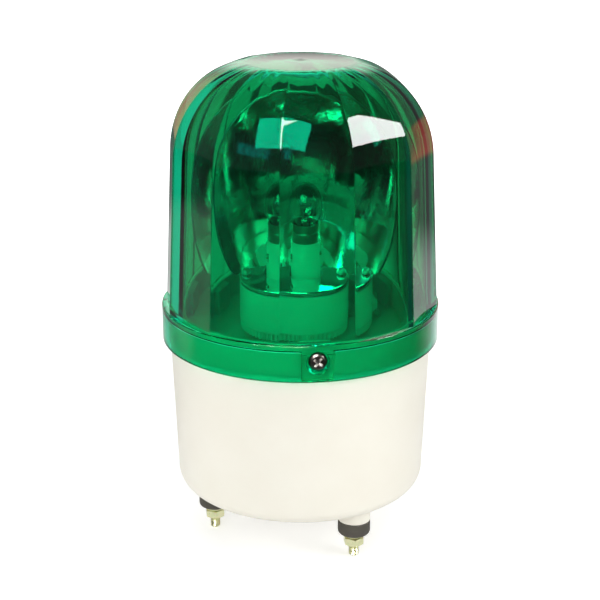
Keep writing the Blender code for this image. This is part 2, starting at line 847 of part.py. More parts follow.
def make_chassis():
    inner = chassis_radius - chassis_wall
    chassis = turned("chassis", [
        (post_tube_radius + bore_clearance, chassis_bottom),
        (chassis_radius, chassis_bottom),
        (chassis_radius, chassis_rim),
        (inner, chassis_rim),
        (inner, chassis_top),
        (post_tube_radius + bore_clearance, chassis_top)], base_sides)
    for place in board_hole_places():
        weld(chassis, rod("standoff", board_standoff_radius, chassis_bottom - board_standoff_height,
                          chassis_top - chassis_thickness / 2, place))
        cut(chassis, bore(small_screw_radius + bore_clearance,
                         chassis_bottom - board_standoff_height - cut_overrun,
                         chassis_bottom - cut_overrun, place))
    for angle in chassis_screw_angles:
        cut(chassis, bore(small_screw_radius + bore_clearance, chassis_bottom - cut_overrun,
                         chassis_top + cut_overrun, around(angle, post_circle_radius)))
    for place in motor_screw_places():
        cut(chassis, bore(small_screw_radius + bore_clearance, chassis_bottom - cut_overrun,
                         chassis_top + cut_overrun, place))
    cut(chassis, rod("shaft_hole", shaft_hole_radius, chassis_bottom - cut_overrun,
                     chassis_top + cut_overrun, motor_place))
    boss_inner = base_radius_top - base_wall - rim_boss_depth
    half = rim_boss_width / 2 + 2 * seat_gap
    for angle in lens_screw_angles:
        tool = block("slot", (-half, -flange_radius, chassis_bottom - cut_overrun),
                     (half, -(boss_inner - 2 * seat_gap), screw_height + rim_boss_height / 2 + seat_gap))
        cut(chassis, moved(tool, turn(angle)))
    finished(chassis, black_plastic)

    repeated(small_screw("chassis_screw", chassis_top + seat_gap),
             [Matrix.Translation(around(angle, post_circle_radius)) for angle in chassis_screw_angles],
             bright_steel)


# Lamp post and lamp holder

def make_lamp_post():
    post = turned("lamp_post", [
        (post_tube_bore, post_flange_bottom),
        (post_flange_radius, post_flange_bottom),
        (post_flange_radius, post_flange_top),
        (post_tube_radius, post_flange_top),
        (post_tube_radius, post_tube_top),
        (post_tube_bore, post_tube_top)], hidden_sides)
    finished(post, bright_steel)

    nut = hexagon("post_nut", post_nut_width, post_nut_bottom, post_nut_top)
    cut(nut, rod("hole", post_tube_radius + bore_clearance, post_nut_bottom - cut_overrun,
                 post_nut_top + cut_overrun, sides=hidden_sides))
    finished(nut, bright_steel)

    inner = post_tube_radius + bore_clearance
    washer = turned("thrust_washer", [
        (inner, thrust_bottom), (thrust_washer_radius, thrust_bottom),
        (thrust_washer_radius, thrust_top), (inner, thrust_top)], hidden_sides)
    finished(washer, white_plastic)


def make_lamp_holder():
    inner = holder_radius - holder_wall
    holder = turned("lamp_holder", [
        (0, holder_bottom), (holder_radius, holder_bottom), (holder_radius, holder_top),
        (inner, holder_top), (inner, holder_inside), (0, holder_inside)], round_sides)
    for side in (-1, 1):
        cut(holder, bore(lead_hole_radius, holder_bottom - cut_overrun,
                        holder_inside + cut_overrun, (side * lead_hole_offset, 0, 0)))
    pin_height = cap_bottom + cap_pin_height
    slot_foot = holder_top - holder_slot_depth
    half = holder_slot_width / 2
    for side in (0, 180):
        down = block("slot", (-half, -(holder_radius + cut_overrun), slot_foot),
                     (half, -(inner - cut_overrun / 2), holder_top + cut_overrun))
        across = block("slot", (-half, -(holder_radius + cut_overrun), slot_foot),
                       (half + holder_slot_turn, -inner / 2, pin_height + half))
        cut(holder, moved(weld(down, across), turn(bayonet_angle + side)))
    finished(holder, nickel)

    insulator = turned("holder_insulator", [
        (plunger_radius + bore_clearance, insulator_bottom),
        (inner - seat_gap, insulator_bottom),
        (inner - seat_gap, insulator_top),
        (plunger_radius + bore_clearance, insulator_top)], hidden_sides)
    finished(insulator, brown_laminate)

    plunger = turned("holder_contact", [
        (0, insulator_bottom), (plunger_radius, insulator_bottom),
        (plunger_radius, plunger_top - plunger_rise / 2),
        (plunger_radius - plunger_rise / 2, plunger_top), (0, plunger_top)], small_sides)
    finished(plunger, brass)


# Lamp

def make_lamp():
    contact = turned("lamp_contact", [
        (0, contact_bottom), (lamp_contact_radius / 2, contact_bottom),
        (lamp_contact_radius, contact_top), (0, contact_top)], small_sides)
    finished(contact, bright_steel)

    cap_bore = cap_radius - cap_wall
    plug_top = cap_bottom + cap_plug_height
    cap = turned("lamp_cap", [
        (0, cap_bottom), (cap_radius - cap_wall * 2, cap_bottom),
        (cap_radius, cap_bottom + cap_wall * 2), (cap_radius, cap_top),
        (cap_bore, cap_top), (cap_bore, plug_top), (0, plug_top)], round_sides)
    pin_height = cap_bottom + cap_pin_height
    pins = rod("pins", cap_pin_radius, -cap_pin_reach, cap_pin_reach, sides=12)
    moved(pins, Matrix.Translation((0, 0, pin_height)) @ Matrix.Rotation(math.pi / 2, 4, "X"))
    lock = math.degrees(holder_slot_turn / holder_radius)
    weld(cap, moved(pins, turn(bayonet_angle + lock)))
    finished(cap, nickel)

    neck = glass_neck_radius
    start = math.asin(neck / glass_radius)
    steps = 5
    outside = [(glass_radius * math.sin(a), glass_middle - glass_radius * math.cos(a))
               for a in [start + (math.pi - start) * i / steps for i in range(steps)]]
    inner_radius = glass_radius - glass_wall
    inner_neck = neck - glass_wall
    inner_start = math.asin(inner_neck / inner_radius)
    inside = [(inner_radius * math.sin(a), glass_middle - inner_radius * math.cos(a))
              for a in [inner_start + (math.pi - inner_start) * i / steps for i in range(steps)]]
    neck_bottom = outside[0][1] - glass_neck_length
    outline = [(inner_neck, neck_bottom), (neck, neck_bottom), *outside,
               (0, glass_middle + glass_radius), (0, glass_middle + inner_radius),
               *reversed(inside)]
    glass = turned("lamp_glass", outline, round_sides)
    finished(glass, clear_glass)

    half = support_spread + support_radius / 2
    points = []
    per_turn = wire_sides
    count = filament_turns * per_turn
    for i in range(count + 1):
        angle = 2 * math.pi * i / per_turn
        points.append(Vector((-half + 2 * half * i / count,
                              filament_coil_radius * math.cos(angle),
                              glass_middle + filament_coil_radius * math.sin(angle))))
    filament = tube("lamp_filament", points, filament_wire_radius, 0)
    for side in (-1, 1):
        weld(filament, rod("support", support_radius, plug_top + seat_gap,
                           glass_middle + filament_coil_radius + 2 * filament_wire_radius,
                           (side * support_spread, filament_coil_radius, 0), wire_sides))
    finished(filament, tungsten)


# Rotor

def gear_outline(teeth, phase):
    """Straight sided teeth. One tooth stands at the phase angle, counted from the front."""
    pitch_radius = gear_module * teeth / 2
    slope = math.tan(math.radians(pressure_angle_degrees))
    half = math.pi * gear_module / 4 * tooth_share
    tip = pitch_radius + gear_module * addendum_share
    root = pitch_radius - gear_module * dedendum_share
    half_tip = (half - gear_module * addendum_share * slope) / tip
    half_root = (half + gear_module * dedendum_share * slope * root_flank_share) / root
    outline = []
    for i in range(teeth):
        middle = phase + 360 * i / teeth
        for radius, away in ((root, -half_root), (tip, -half_tip), (tip, half_tip), (root, half_root)):
            point = around(middle + math.degrees(away), radius)
            outline.append((point.x, point.y))
    return outline


def make_rotor(carrier):
    gap_phase = motor_angle - reflector_rest_angle + 180 / gear_teeth
    ring = prism("drive_gear", gear_outline(gear_teeth, gap_phase), gear_bottom, gear_top)
    ring_bore = gear_pitch_radius - gear_module * dedendum_share - gear_rim_thickness
    cut(ring, rod("bore", ring_bore, gear_bottom - cut_overrun, gear_top + cut_overrun,
                  sides=lens_sides))
    bush_radius = post_tube_radius + bore_clearance + bush_wall
    hub_bore = bush_radius + seat_gap
    web_top = hub_bottom + cup_web
    cup = turned("cup", [
        (hub_bore, hub_bottom),
        (cup_radius, hub_bottom),
        (cup_radius, cup_top),
        (cup_radius - cup_wall, cup_top),
        (cup_radius - cup_wall, web_top),
        (hub_radius, web_top),
        (hub_radius, hub_top),
        (hub_bore, hub_top)], base_sides)
    weld(ring, cup)
    for place in reflector_screw_places():
        weld(ring, rod("boss", cup_boss_radius, hub_bottom + cup_web / 2, cup_top, place))
        cut(ring, bore(small_screw_radius + bore_clearance,
                      cup_top - small_screw_length, cup_top + cut_overrun, place))
    finished(ring, white_plastic, carrier=carrier)

    bush = turned("rotor_bush", [
        (post_tube_radius + bore_clearance, hub_bottom), (bush_radius, hub_bottom),
        (bush_radius, hub_top), (post_tube_radius + bore_clearance, hub_top)], hidden_sides)
    finished(bush, brass, carrier=carrier)

    screw = small_screw("reflector_screw", mirror_top + seat_gap)
    cross_recess(screw, mirror_top + seat_gap + small_screw_head_height, small_screw_head_radius)
    repeated(screw, [Matrix.Translation(place) for place in reflector_screw_places()],
             bright_steel, carrier=carrier)


def reflector_screw_places():
    return [Vector((side * reflector_screw_spread, -reflector_screw_advance, 0)) for side in (-1, 1)]


def make_reflector(carrier):
    """A parabolic bowl whose focus lies on the lamp's axis, cut off by a level mirror floor."""
    steps = 6
    mirror, back = [], []
    for i in range(steps + 1):
        radius = reflector_radius * i / steps
        depth = radius * radius / (4 * reflector_focus)
        slope = radius / (2 * reflector_focus)
        length = math.sqrt(1 + slope * slope)
        mirror.append((radius, depth))
        back.append((radius + reflector_wall * slope / length, depth - reflector_wall / length))
    rim_depth = mirror[-1][1]
    lip = [(reflector_radius + reflector_lip, rim_depth),
           (reflector_radius + reflector_lip, rim_depth - reflector_lip)]
    back = [point for point in back if point[1] < rim_depth - reflector_lip]
    bowl = turned("reflector", mirror + lip + list(reversed(back)), base_sides)
    moved(bowl, Matrix.Translation((0, reflector_focus, focus_height))
          @ Matrix.Rotation(math.pi / 2, 4, "X"))
    wide = reflector_radius + 2 * reflector_lip
    middle = (mirror_bottom + mirror_top) / 2
    cut(bowl, block("below", (-wide, -wide, focus_height - wide), (wide, wide, middle)))
    weld(bowl, rod("floor", cup_radius, mirror_bottom, mirror_top, sides=base_sides))
    for side in (-1, 1):
        x = side * reflector_web_spread
        web = upright("web", [
            (floor_curve(x, mirror_top) + reflector_wall / 2, middle),
            (math.sqrt(cup_radius ** 2 - x ** 2) - reflector_web, middle),
            (floor_curve(x, mirror_top + reflector_web_height) + reflector_wall * web_seat_share,
             mirror_top + reflector_web_height)], reflector_web)
        weld(bowl, moved(web, Matrix.Translation((x, 0, 0))))
    cut(bowl, rod("lamp_hole", holder_radius + running_gap / 2, mirror_bottom - cut_overrun,
                  mirror_top + holder_radius, sides=round_sides))
    for place in reflector_screw_places():
        cut(bowl, bore(small_screw_radius + bore_clearance, mirror_bottom - cut_overrun,
                      mirror_top + cut_overrun, place))
    finished(bowl, mirror_coat, carrier=carrier)


def floor_curve(x, height):
    """How far behind the axis the mirror stands at a place across and up."""
    rise = height - focus_height
    return reflector_focus - (x * x + rise * rise) / (4 * reflector_focus)


# Motor

def make_pinion(carrier):
    bottom = gear_bottom - seat_gap
    top = gear_top - seat_gap
    pinion = prism("pinion", gear_outline(pinion_teeth, motor_angle + 180), bottom, top)
    weld(pinion, rod("hub", pinion_hub_radius, top - cut_overrun, top + pinion_hub_height))
    cut(pinion, rod("bore", shaft_radius + bore_clearance, bottom - cut_overrun,
                    top + pinion_hub_height + cut_overrun))
    finished(pinion, white_plastic, carrier=carrier)

    shaft = rod("motor_shaft", shaft_radius, gearbox_top - shaft_depth,
                top + pinion_hub_height + shaft_end)
    finished(shaft, bright_steel, carrier=carrier)


def make_motor():
    place = Matrix.Translation(motor_place)
    gearbox = turned("gearbox", [
        (0, gearbox_bottom), (gearbox_radius, gearbox_bottom), (gearbox_radius, gearbox_top),
        (shaft_radius + bore_clearance, gearbox_top),
        (shaft_radius + bore_clearance, gearbox_top - shaft_depth - running_gap),
        (0, gearbox_top - shaft_depth - running_gap)], hidden_sides)
    moved(gearbox, place)
    for spot in motor_screw_places():
        cut(gearbox, bore(small_screw_radius + bore_clearance,
                         gearbox_top - small_screw_length, gearbox_top + cut_overrun, spot))
    finished(gearbox, bright_steel)

    can = turned("motor_can", [
        (0, motor_bottom - motor_cap_height), (motor_cap_radius, motor_bottom - motor_cap_height),
        (motor_cap_radius, motor_bottom), (motor_radius - motor_cap_height, motor_bottom),
        (motor_radius, motor_bottom + motor_cap_height), (motor_radius, motor_top),
        (0, motor_top)], hidden_sides)
    flat = motor_radius * motor_flat_share
    wide = motor_radius + cut_overrun
    low = motor_bottom - motor_cap_height - cut_overrun
    for side in (-1, 1):
        near, far = sorted((side * flat, side * wide))
        cut(can, block("flat", (-wide, near, low), (wide, far, motor_top + cut_overrun)))
    for side in (-1, 1):
        x = side * terminal_spread
        weld(can, block("tab", (x - terminal_thickness / 2, -terminal_width / 2,
                                motor_bottom - terminal_length),
                        (x + terminal_thickness / 2, terminal_width / 2,
                         motor_bottom + motor_cap_height)))
    finished(moved(can, place @ turn(motor_angle + 90)), bright_steel)

    repeated(small_screw("motor_screw", chassis_top + seat_gap),
             [Matrix.Translation(spot) for spot in motor_screw_places()], bright_steel)


# Siren

def make_siren():
    place = Matrix.Translation(siren_place)
    inner = siren_radius - siren_wall
    ledge = siren_bottom + siren_ledge_height
    shell = turned("siren_housing", [
        (inner, siren_bottom), (siren_radius, siren_bottom), (siren_radius, siren_top),
        (0, siren_top), (0, siren_top - siren_wall),
        (inner - siren_wall, siren_top - siren_wall), (inner - siren_wall, ledge),
        (inner, ledge)], hidden_sides)
    for side in (-1, 1):
        x = side * siren_ear_reach
        ear = weld(rod("ear", siren_ear_radius, siren_ear_bottom, siren_ear_top, (x, 0, 0)),
                   block("arm", (min(side * inner, x), -siren_ear_radius, siren_ear_bottom),
                         (max(side * inner, x), siren_ear_radius, siren_ear_top)))
        cut(ear, rod("inside", siren_radius - siren_wall / 2, siren_ear_bottom - cut_overrun,
                     siren_ear_top + cut_overrun, sides=hidden_sides))
        weld(shell, ear)
        cut(shell, bore(small_screw_radius + bore_clearance, siren_ear_bottom - cut_overrun,
                       siren_ear_top + cut_overrun, (x, 0, 0)),
            bore(lead_hole_radius, siren_top - siren_wall - cut_overrun,
                siren_top + cut_overrun, (side * lead_hole_offset, 0, 0)))
    finished(moved(shell, place), black_plastic)

    disc_top = ledge - seat_gap
    disc = turned("siren_disc", [
        (0, disc_top - siren_disc_thickness), (inner - seat_gap, disc_top - siren_disc_thickness),
        (inner - seat_gap, disc_top), (0, disc_top)], hidden_sides)
    finished(moved(disc, place), brass)

    ring_top = disc_top - siren_disc_thickness - seat_gap
    ring_bottom = siren_bottom + seat_gap
    ring = turned("siren_ring", [
        (siren_port_radius, ring_bottom), (inner - seat_gap, ring_bottom),
        (inner - seat_gap, ring_top), (inner - siren_wall, ring_top),
        (inner - siren_wall, ring_bottom + siren_ring_height / 2),
        (siren_port_radius, ring_bottom + siren_ring_height / 2)], hidden_sides)
    finished(moved(ring, place), grey_plastic)

    repeated(small_screw("siren_screw", siren_ear_top + seat_gap, siren_screw_length),
             [place @ Matrix.Translation((side * siren_ear_reach, 0, 0)) for side in (-1, 1)],
             bright_steel)


# Cable entry

def make_grommet():
    top = base_inside + seat_gap + grommet_flange_height
    bottom = base_bottom - seat_gap - grommet_flange_height
    grommet = turned("cable_grommet", [
        (grommet_bore_radius, bottom), (grommet_flange_radius, bottom),
        (grommet_flange_radius, base_bottom - seat_gap), (grommet_neck_radius, base_bottom - seat_gap),
        (grommet_neck_radius, base_inside + seat_gap), (grommet_flange_radius, base_inside + seat_gap),
        (grommet_flange_radius, top), (grommet_bore_radius, top)], hidden_sides)
    finished(moved(grommet, Matrix.Translation(grommet_place)), rubber_black)


# Driver board

def make_board():
    left, right = -board_left, -board_right
    outline = [(left + board_corner, -board_front), (right, -board_front), (right, board_back),
               (left + board_corner, board_back), (left, board_back - board_corner),
               (left, -board_front + board_corner)]
    board = prism("driver_board", outline, board_bottom, board_top)
    for place in board_hole_places():
        cut(board, bore(small_screw_radius + bore_clearance, board_bottom - cut_overrun,
                       board_top + cut_overrun, place))
    finished(board, board_green)

    repeated(small_screw("board_screw", board_bottom - seat_gap, upward=False),
             [Matrix.Translation(place) for place in board_hole_places()], bright_steel)

    block_right = -board_right - seat_gap
    low = parts_top - terminal_block_height
    terminal = block("terminal_block",
                     (block_right - terminal_block_width, -terminal_block_length / 2, low),
                     (block_right, terminal_block_length / 2, parts_top))
    for spot in terminal_ways():
        cut(terminal, block("way", (block_right - terminal_block_width / 2, spot.y - terminal_way_width / 2,
                                    spot.z - terminal_way_width / 2),
                            (block_right + cut_overrun, spot.y + terminal_way_width / 2,
                             spot.z + terminal_way_width / 2)))
    finished(terminal, terminal_green)

    low = parts_top - capacitor_height
    neck = capacitor_radius - lead_radius / 2
    seal = parts_top - capacitor_radius / 2
    row = -board_left + board_corner + capacitor_radius
    capacitor = turned("capacitor", [
        (0, low), (neck, low), (capacitor_radius, low + lead_radius),
        (capacitor_radius, seal - lead_radius / 2), (neck, seal),
        (capacitor_radius, seal + lead_radius / 2),
        (capacitor_radius, parts_top), (0, parts_top)], small_sides)
    finished(moved(capacitor, Matrix.Translation((row, board_back / 3, 0))), sleeve_blue)

    chip_right = block_right - terminal_block_width - chip_inset
    chip_front = chip_inset - board_front
    chip = block("driver_chip", (chip_right - chip_width, chip_front, parts_top - chip_height),
                 (chip_right, chip_front + chip_length, parts_top))
    finished(chip, black_plastic)


def terminal_ways():
    """Middles of the terminal block's openings."""
    step = terminal_block_length / terminal_way_count
    height = parts_top - terminal_block_height / 2
    return [Vector((-board_right - seat_gap, -terminal_block_length / 2 + step * (i + 0.5), height))
            for i in range(terminal_way_count)]


# Internal leads

def smooth_route(points):
    """Evenly spaced points on a Catmull-Rom curve through the route's points."""
    ends = [points[0] * 2 - points[1], *points, points[-1] * 2 - points[-2]]
    route = [points[0]]
    for a, b, c, d in zip(ends, ends[1:], ends[2:], ends[3:]):
        count = max(2, round((c - b).length / lead_step))
        for i in range(1, count + 1):
            t = i / count
            route.append(0.5 * (2 * b + (c - a) * t + (2 * a - 5 * b + 4 * c - d) * t * t
                                + (3 * b - a - 3 * c + d) * t * t * t))
    return route


def tube(name, points, radius, resolution):
    curve = bpy.data.curves.new(name, "CURVE")
    curve.dimensions = "3D"
    curve.bevel_depth = radius
    curve.bevel_resolution = resolution
    curve.use_fill_caps = True
    spline = curve.splines.new("POLY")
    spline.points.add(len(points) - 1)
    for spot, point in zip(spline.points, points):
        spot.co = (*point, 1)
    holder = bpy.data.objects.new(name, curve)
    bpy.context.scene.collection.objects.link(holder)
    graph = bpy.context.evaluated_depsgraph_get()
    mesh = bpy.data.meshes.new_from_object(holder.evaluated_get(graph))
    bpy.data.objects.remove(holder, do_unlink=True)
    bm = bmesh.new()
    bm.from_mesh(mesh)
    bmesh.ops.remove_doubles(bm, verts=bm.verts, dist=cut_overrun / 1000)
    return to_object(name, bm)


def make_leads():
    """Two-core leads from the terminal block to the lamp, the motor and the siren."""
    ways = terminal_ways()
    inside = Vector((-terminal_block_width / 4, 0, 0))
    outside = Vector((2 * lead_radius, 0, 0))
    steep = Vector((0, 0, 4 * lead_radius))

    foot = Vector((0, 0, post_flange_bottom))
    lamp = tube("lamp_lead", smooth_route([
        ways[2] + inside,
        ways[2] + outside,
        (ways[2] + foot) / 2 + outside * 2,
        foot,
        Vector((lead_hole_offset / 2, 0, (foot.z + post_tube_top) / 2)),
        Vector((lead_hole_offset, 0, post_tube_top - 3 * lead_radius)),
        Vector((lead_hole_offset, 0, insulator_bottom - seat_gap))]), lead_radius, 1)
    finished(lamp, lead_red)

    beside = around(motor_angle, motor_distance - motor_radius - 4 * lead_radius)
    tab = around(motor_angle, motor_distance - terminal_spread - terminal_thickness / 2 - seat_gap)
    tab.z = motor_bottom - terminal_length / 2
    motor = tube("motor_lead", smooth_route([
        ways[1] + inside,
        ways[1] + outside,
        Vector((beside.x, beside.y, (ways[1].z + motor_bottom) / 2)),
        Vector((beside.x, beside.y, motor_bottom)),
        Vector(((beside.x + tab.x) / 2, (beside.y + tab.y) / 2, tab.z)),
        tab]), lead_radius, 1)
    finished(motor, lead_blue)

    port = siren_place + Vector((lead_hole_offset, 0, siren_top - siren_wall / 2))
    siren = tube("siren_lead", smooth_route([
        ways[0] + inside,
        ways[0] + outside,
        (ways[0] + outside + port + steep) / 2,
        port + steep,
        port]), lead_radius, 1)
    finished(siren, lead_black)


for old_object in list(bpy.data.objects):
    bpy.data.objects.remove(old_object, do_unlink=True)

reflector_axis = bpy.data.objects.new("reflector_axis", None)
reflector_axis.rotation_euler.z = math.radians(reflector_rest_angle)
pinion_axis = bpy.data.objects.new("pinion_axis", None)
pinion_axis.location = motor_place
for axis in (reflector_axis, pinion_axis):
    bpy.context.scene.collection.objects.link(axis)

make_feet()
make_base()
make_grommet()
make_siren()
make_chassis()
make_motor()
make_board()
make_lamp_post()
make_lamp_holder()
make_lamp()
make_rotor(reflector_axis)
make_reflector(reflector_axis)
make_pinion(pinion_axis)
make_leads()
make_gasket()
make_lens()
make_lens_screws()
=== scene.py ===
import math

import bmesh
import bpy
from mathutils import Matrix, Vector


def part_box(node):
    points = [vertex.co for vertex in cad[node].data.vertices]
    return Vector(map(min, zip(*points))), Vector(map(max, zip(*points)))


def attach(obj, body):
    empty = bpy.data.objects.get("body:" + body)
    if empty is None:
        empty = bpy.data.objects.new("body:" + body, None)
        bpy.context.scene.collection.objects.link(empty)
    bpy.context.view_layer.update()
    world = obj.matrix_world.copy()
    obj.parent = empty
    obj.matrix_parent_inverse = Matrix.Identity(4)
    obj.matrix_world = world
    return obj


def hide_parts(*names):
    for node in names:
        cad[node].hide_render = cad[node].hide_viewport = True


# Green rotating beacon with a siren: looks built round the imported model.
# Lengths are in millimetres in the dictionaries and in metres in the meshes.

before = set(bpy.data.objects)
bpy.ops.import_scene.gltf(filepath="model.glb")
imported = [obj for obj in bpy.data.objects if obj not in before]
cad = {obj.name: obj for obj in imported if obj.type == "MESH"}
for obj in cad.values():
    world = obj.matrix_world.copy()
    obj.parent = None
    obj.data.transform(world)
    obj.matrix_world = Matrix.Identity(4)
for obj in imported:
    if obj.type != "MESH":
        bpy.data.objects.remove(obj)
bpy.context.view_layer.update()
mm = 0.001


# Camera, floor and lights

camera = {"azimuth": -6.9, "elevation": 18.87, "distance": 547.8, "aim": (-0.1, 0, 93.8), "lens": 86.15}
studio = {
    "floorSize": 9000, "floorColour": 0.9, "floorLift": 0.38, "floorOffGloss": 0.05, "floorThroughGlass": 0.42,
    # glow of the floor round the feet, beside the object, round the lens and behind
    "nearOffGloss": 0.75, "besideOffGloss": 0.38, "nearThroughGlass": 1.0, "farThroughGlass": 0.05,
    "backOffGloss": 0.9, "backThroughGlass": 0.45,
    "skyLight": 0.45, "skyBack": 0.85, "skyFront": 0.55, "skyTop": 0.3, "skyOffGloss": 0.2, "rightShade": 0.15,
    "lamps": [
        # name, azimuth, elevation, distance, width, height, power
        ("rightLamp", 62, 22, 900, 300, 500, 3.0),
        ("leftLamp", -27, 24, 900, 620, 420, 2.75),
        ("sideLamp", -88, 14, 900, 400, 500, 1.3),
        ("topLamp", 20, 80, 1100, 700, 700, 2.25),
        ("backLamp", 178, 24, 1200, 900, 600, 2.4),
    ],
    "cards": [
        # name, azimuth, elevation, distance, width, height, soft edge, colour, strength off gloss and through glass
        ("rightCard", 70, 34, 900, 250, 400, 0.05, (1, 1, 1), 18.0, 6.0),
        ("leftCard", -27, 46, 900, 600, 560, 0.05, (1, 1, 1), 17.0, 17.0),
        ("blueCard", -50, 24, 900, 860, 200, 0.3, (0.1, 0.6, 1), 0.0, 4.4),
        ("backCard", 172, 22, 1500, 1000, 900, 0.6, (1, 0.97, 0.89), 1.35, 0.5),
        ("tanCard", -158, 6, 900, 520, 620, 0.5, (1, 0.6, 0.33), 0.55, 0.0),
        ("redCard", 136, 5, 500, 290, 165, 0.3, (1, 0.06, 0.03), 1.0, 0.0),
    ],
}


def onScene(name, data):
    made = bpy.data.objects.new(name, data)
    bpy.context.scene.collection.objects.link(made)
    return made


# Stands the camera, a lamp or a card on that side of the aim, looking at it.
def aimedFrom(thing, azimuth, elevation, distance):
    a, e = math.radians(azimuth), math.radians(elevation)
    away = Vector((math.sin(a) * math.cos(e), -math.cos(a) * math.cos(e), math.sin(e)))
    place = Matrix.Translation(Vector(camera["aim"]) * mm + away * distance * mm)
    thing.matrix_world = place @ away.to_track_quat("Z", "Y").to_matrix().to_4x4()


def makeCamera():
    shot = onScene("photoCamera", bpy.data.cameras.new("photoCamera"))
    shot.data.lens = camera["lens"]
    shot.data.clip_start = 0.01
    aimedFrom(shot, camera["azimuth"], camera["elevation"], camera["distance"])
    bpy.context.scene.camera = shot


# A node with its settings and its inputs, each a value or another node's output.
def addNode(tree, kind, inputs=None, **settings):
    made = tree.nodes.new(kind)
    for key, value in settings.items():
        setattr(made, key, value)
    for key, value in (inputs or {}).items():
        if isinstance(value, bpy.types.NodeSocket):
            tree.links.new(value, made.inputs[key])
        else:
            made.inputs[key].default_value = value
    return made


def calc(tree, operation, *values):
    return addNode(tree, "ShaderNodeMath", dict(enumerate(values)), operation=operation).outputs[0]


def times(tree, first, *others):
    for other in others:
        first = calc(tree, "MULTIPLY", first, other)
    return first


# Lays the range from start to end onto the range from low to high, and holds it beyond them.
def spread(tree, value, start, end, low=0.0, high=1.0, kind="LINEAR"):
    return addNode(tree, "ShaderNodeMapRange", {"Value": value, "From Min": start, "From Max": end,
                                                "To Min": low, "To Max": high}, interpolation_type=kind).outputs[0]


def fade(tree, value, start, end, low=0.0, high=1.0):
    return spread(tree, value, start, end, low, high, "SMOOTHSTEP")


def objectPlace(tree):
    return addNode(tree, "ShaderNodeTexCoord").outputs["Object"]


def split(tree, vector):
    return addNode(tree, "ShaderNodeSeparateXYZ", {0: vector}).outputs


# Masks for rays that came through glass, off gloss alone, and straight from the camera.
def raysOf(tree):
    path = addNode(tree, "ShaderNodeLightPath").outputs
    through = path["Is Transmission Ray"]       # a ray through glass counts as a glossy one too
    bare = times(tree, path["Is Glossy Ray"], calc(tree, "SUBTRACT", 1.0, through))
    return through, bare, path["Is Camera Ray"]


# A flat piece of the stage and the emptied tree of its material.
def stagePlane(name, width, height, finish):
    w, h = width * mm / 2, height * mm / 2
    mesh = bpy.data.meshes.new(name)
    mesh.from_pydata([(-w, -h, 0), (w, -h, 0), (w, h, 0), (-w, h, 0)], [], [(0, 1, 2, 3)])
    material = bpy.data.materials.new(finish)
    material.use_nodes = True
    material.node_tree.nodes.clear()
    mesh.materials.append(material)
    return onScene(name, mesh), material.node_tree


def showBoth(tree, first, second):
    both = addNode(tree, "ShaderNodeAddShader", {0: first.outputs[0], 1: second.outputs[0]})
    addNode(tree, "ShaderNodeOutputMaterial", {"Surface": both.outputs[0]})


# Pale floor with a glow that only gloss and glass see. Its fades are over distances in metres.
def makeFloor():
    s = studio
    floor, tree = stagePlane("floor", s["floorSize"], s["floorSize"], "paleFloor")
    through, bare, shown = raysOf(tree)
    place = objectPlace(tree)
    x, y, z = split(tree, place)
    reach = addNode(tree, "ShaderNodeVectorMath", {0: place}, operation="LENGTH").outputs["Value"]
    # the last fade gives the lens's flange its pale ends
    behind = times(tree, fade(tree, y, 0.0, 0.2), fade(tree, x, -0.3, 0.2, 0.15, 1.0),
                   fade(tree, reach, 0.4, 0.56, 1.0, 0.2), fade(tree, reach, 0.36, 0.28, 1.0, 1.35))
    beside = times(tree, fade(tree, y, 0.0, 0.08), fade(tree, reach, 0.74, 0.62), fade(tree, x, -0.2, -0.26))
    offGloss = calc(tree, "MAXIMUM", times(tree, fade(tree, reach, 0.2, 0.1), s["nearOffGloss"]),
                    times(tree, behind, s["backOffGloss"]))
    offGloss = calc(tree, "MAXIMUM", offGloss, times(tree, beside, s["besideOffGloss"]))
    throughGlass = calc(tree, "MAXIMUM", fade(tree, reach, 0.42, 0.12, s["farThroughGlass"], s["nearThroughGlass"]),
                        times(tree, fade(tree, y, -0.05, 0.3), s["backThroughGlass"]))
    corner = times(tree, fade(tree, x, 0.07, 0.13), fade(tree, y, 0.3, 0.4))
    right = times(tree, fade(tree, x, 0.06, 0.3), fade(tree, y, -0.25, -0.05, 0.4, 1.0))
    shade = spread(tree, calc(tree, "MAXIMUM", right, corner), 0.0, 1.0, 1.0, s["rightShade"])
    glow = calc(tree, "ADD", times(tree, bare, offGloss), times(tree, through, times(tree, throughGlass, shade)))
    lift = calc(tree, "MULTIPLY_ADD", shown, fade(tree, reach, 0.16, 0.5, s["floorLift"], 1.0), glow)
    tone = calc(tree, "MULTIPLY_ADD", bare, s["floorOffGloss"] - s["floorColour"], s["floorColour"])
    seen = calc(tree, "SUBTRACT", times(tree, shade, s["floorThroughGlass"]), s["floorColour"])
    tone = calc(tree, "MULTIPLY_ADD", through, seen, tone)
    grey = addNode(tree, "ShaderNodeCombineColor", {0: tone, 1: tone, 2: tone}).outputs[0]
    showBoth(tree, addNode(tree, "ShaderNodeBsdfDiffuse", {"Color": grey}),
             addNode(tree, "ShaderNodeEmission", {"Color": (1, 1, 1, 1), "Strength": lift}))


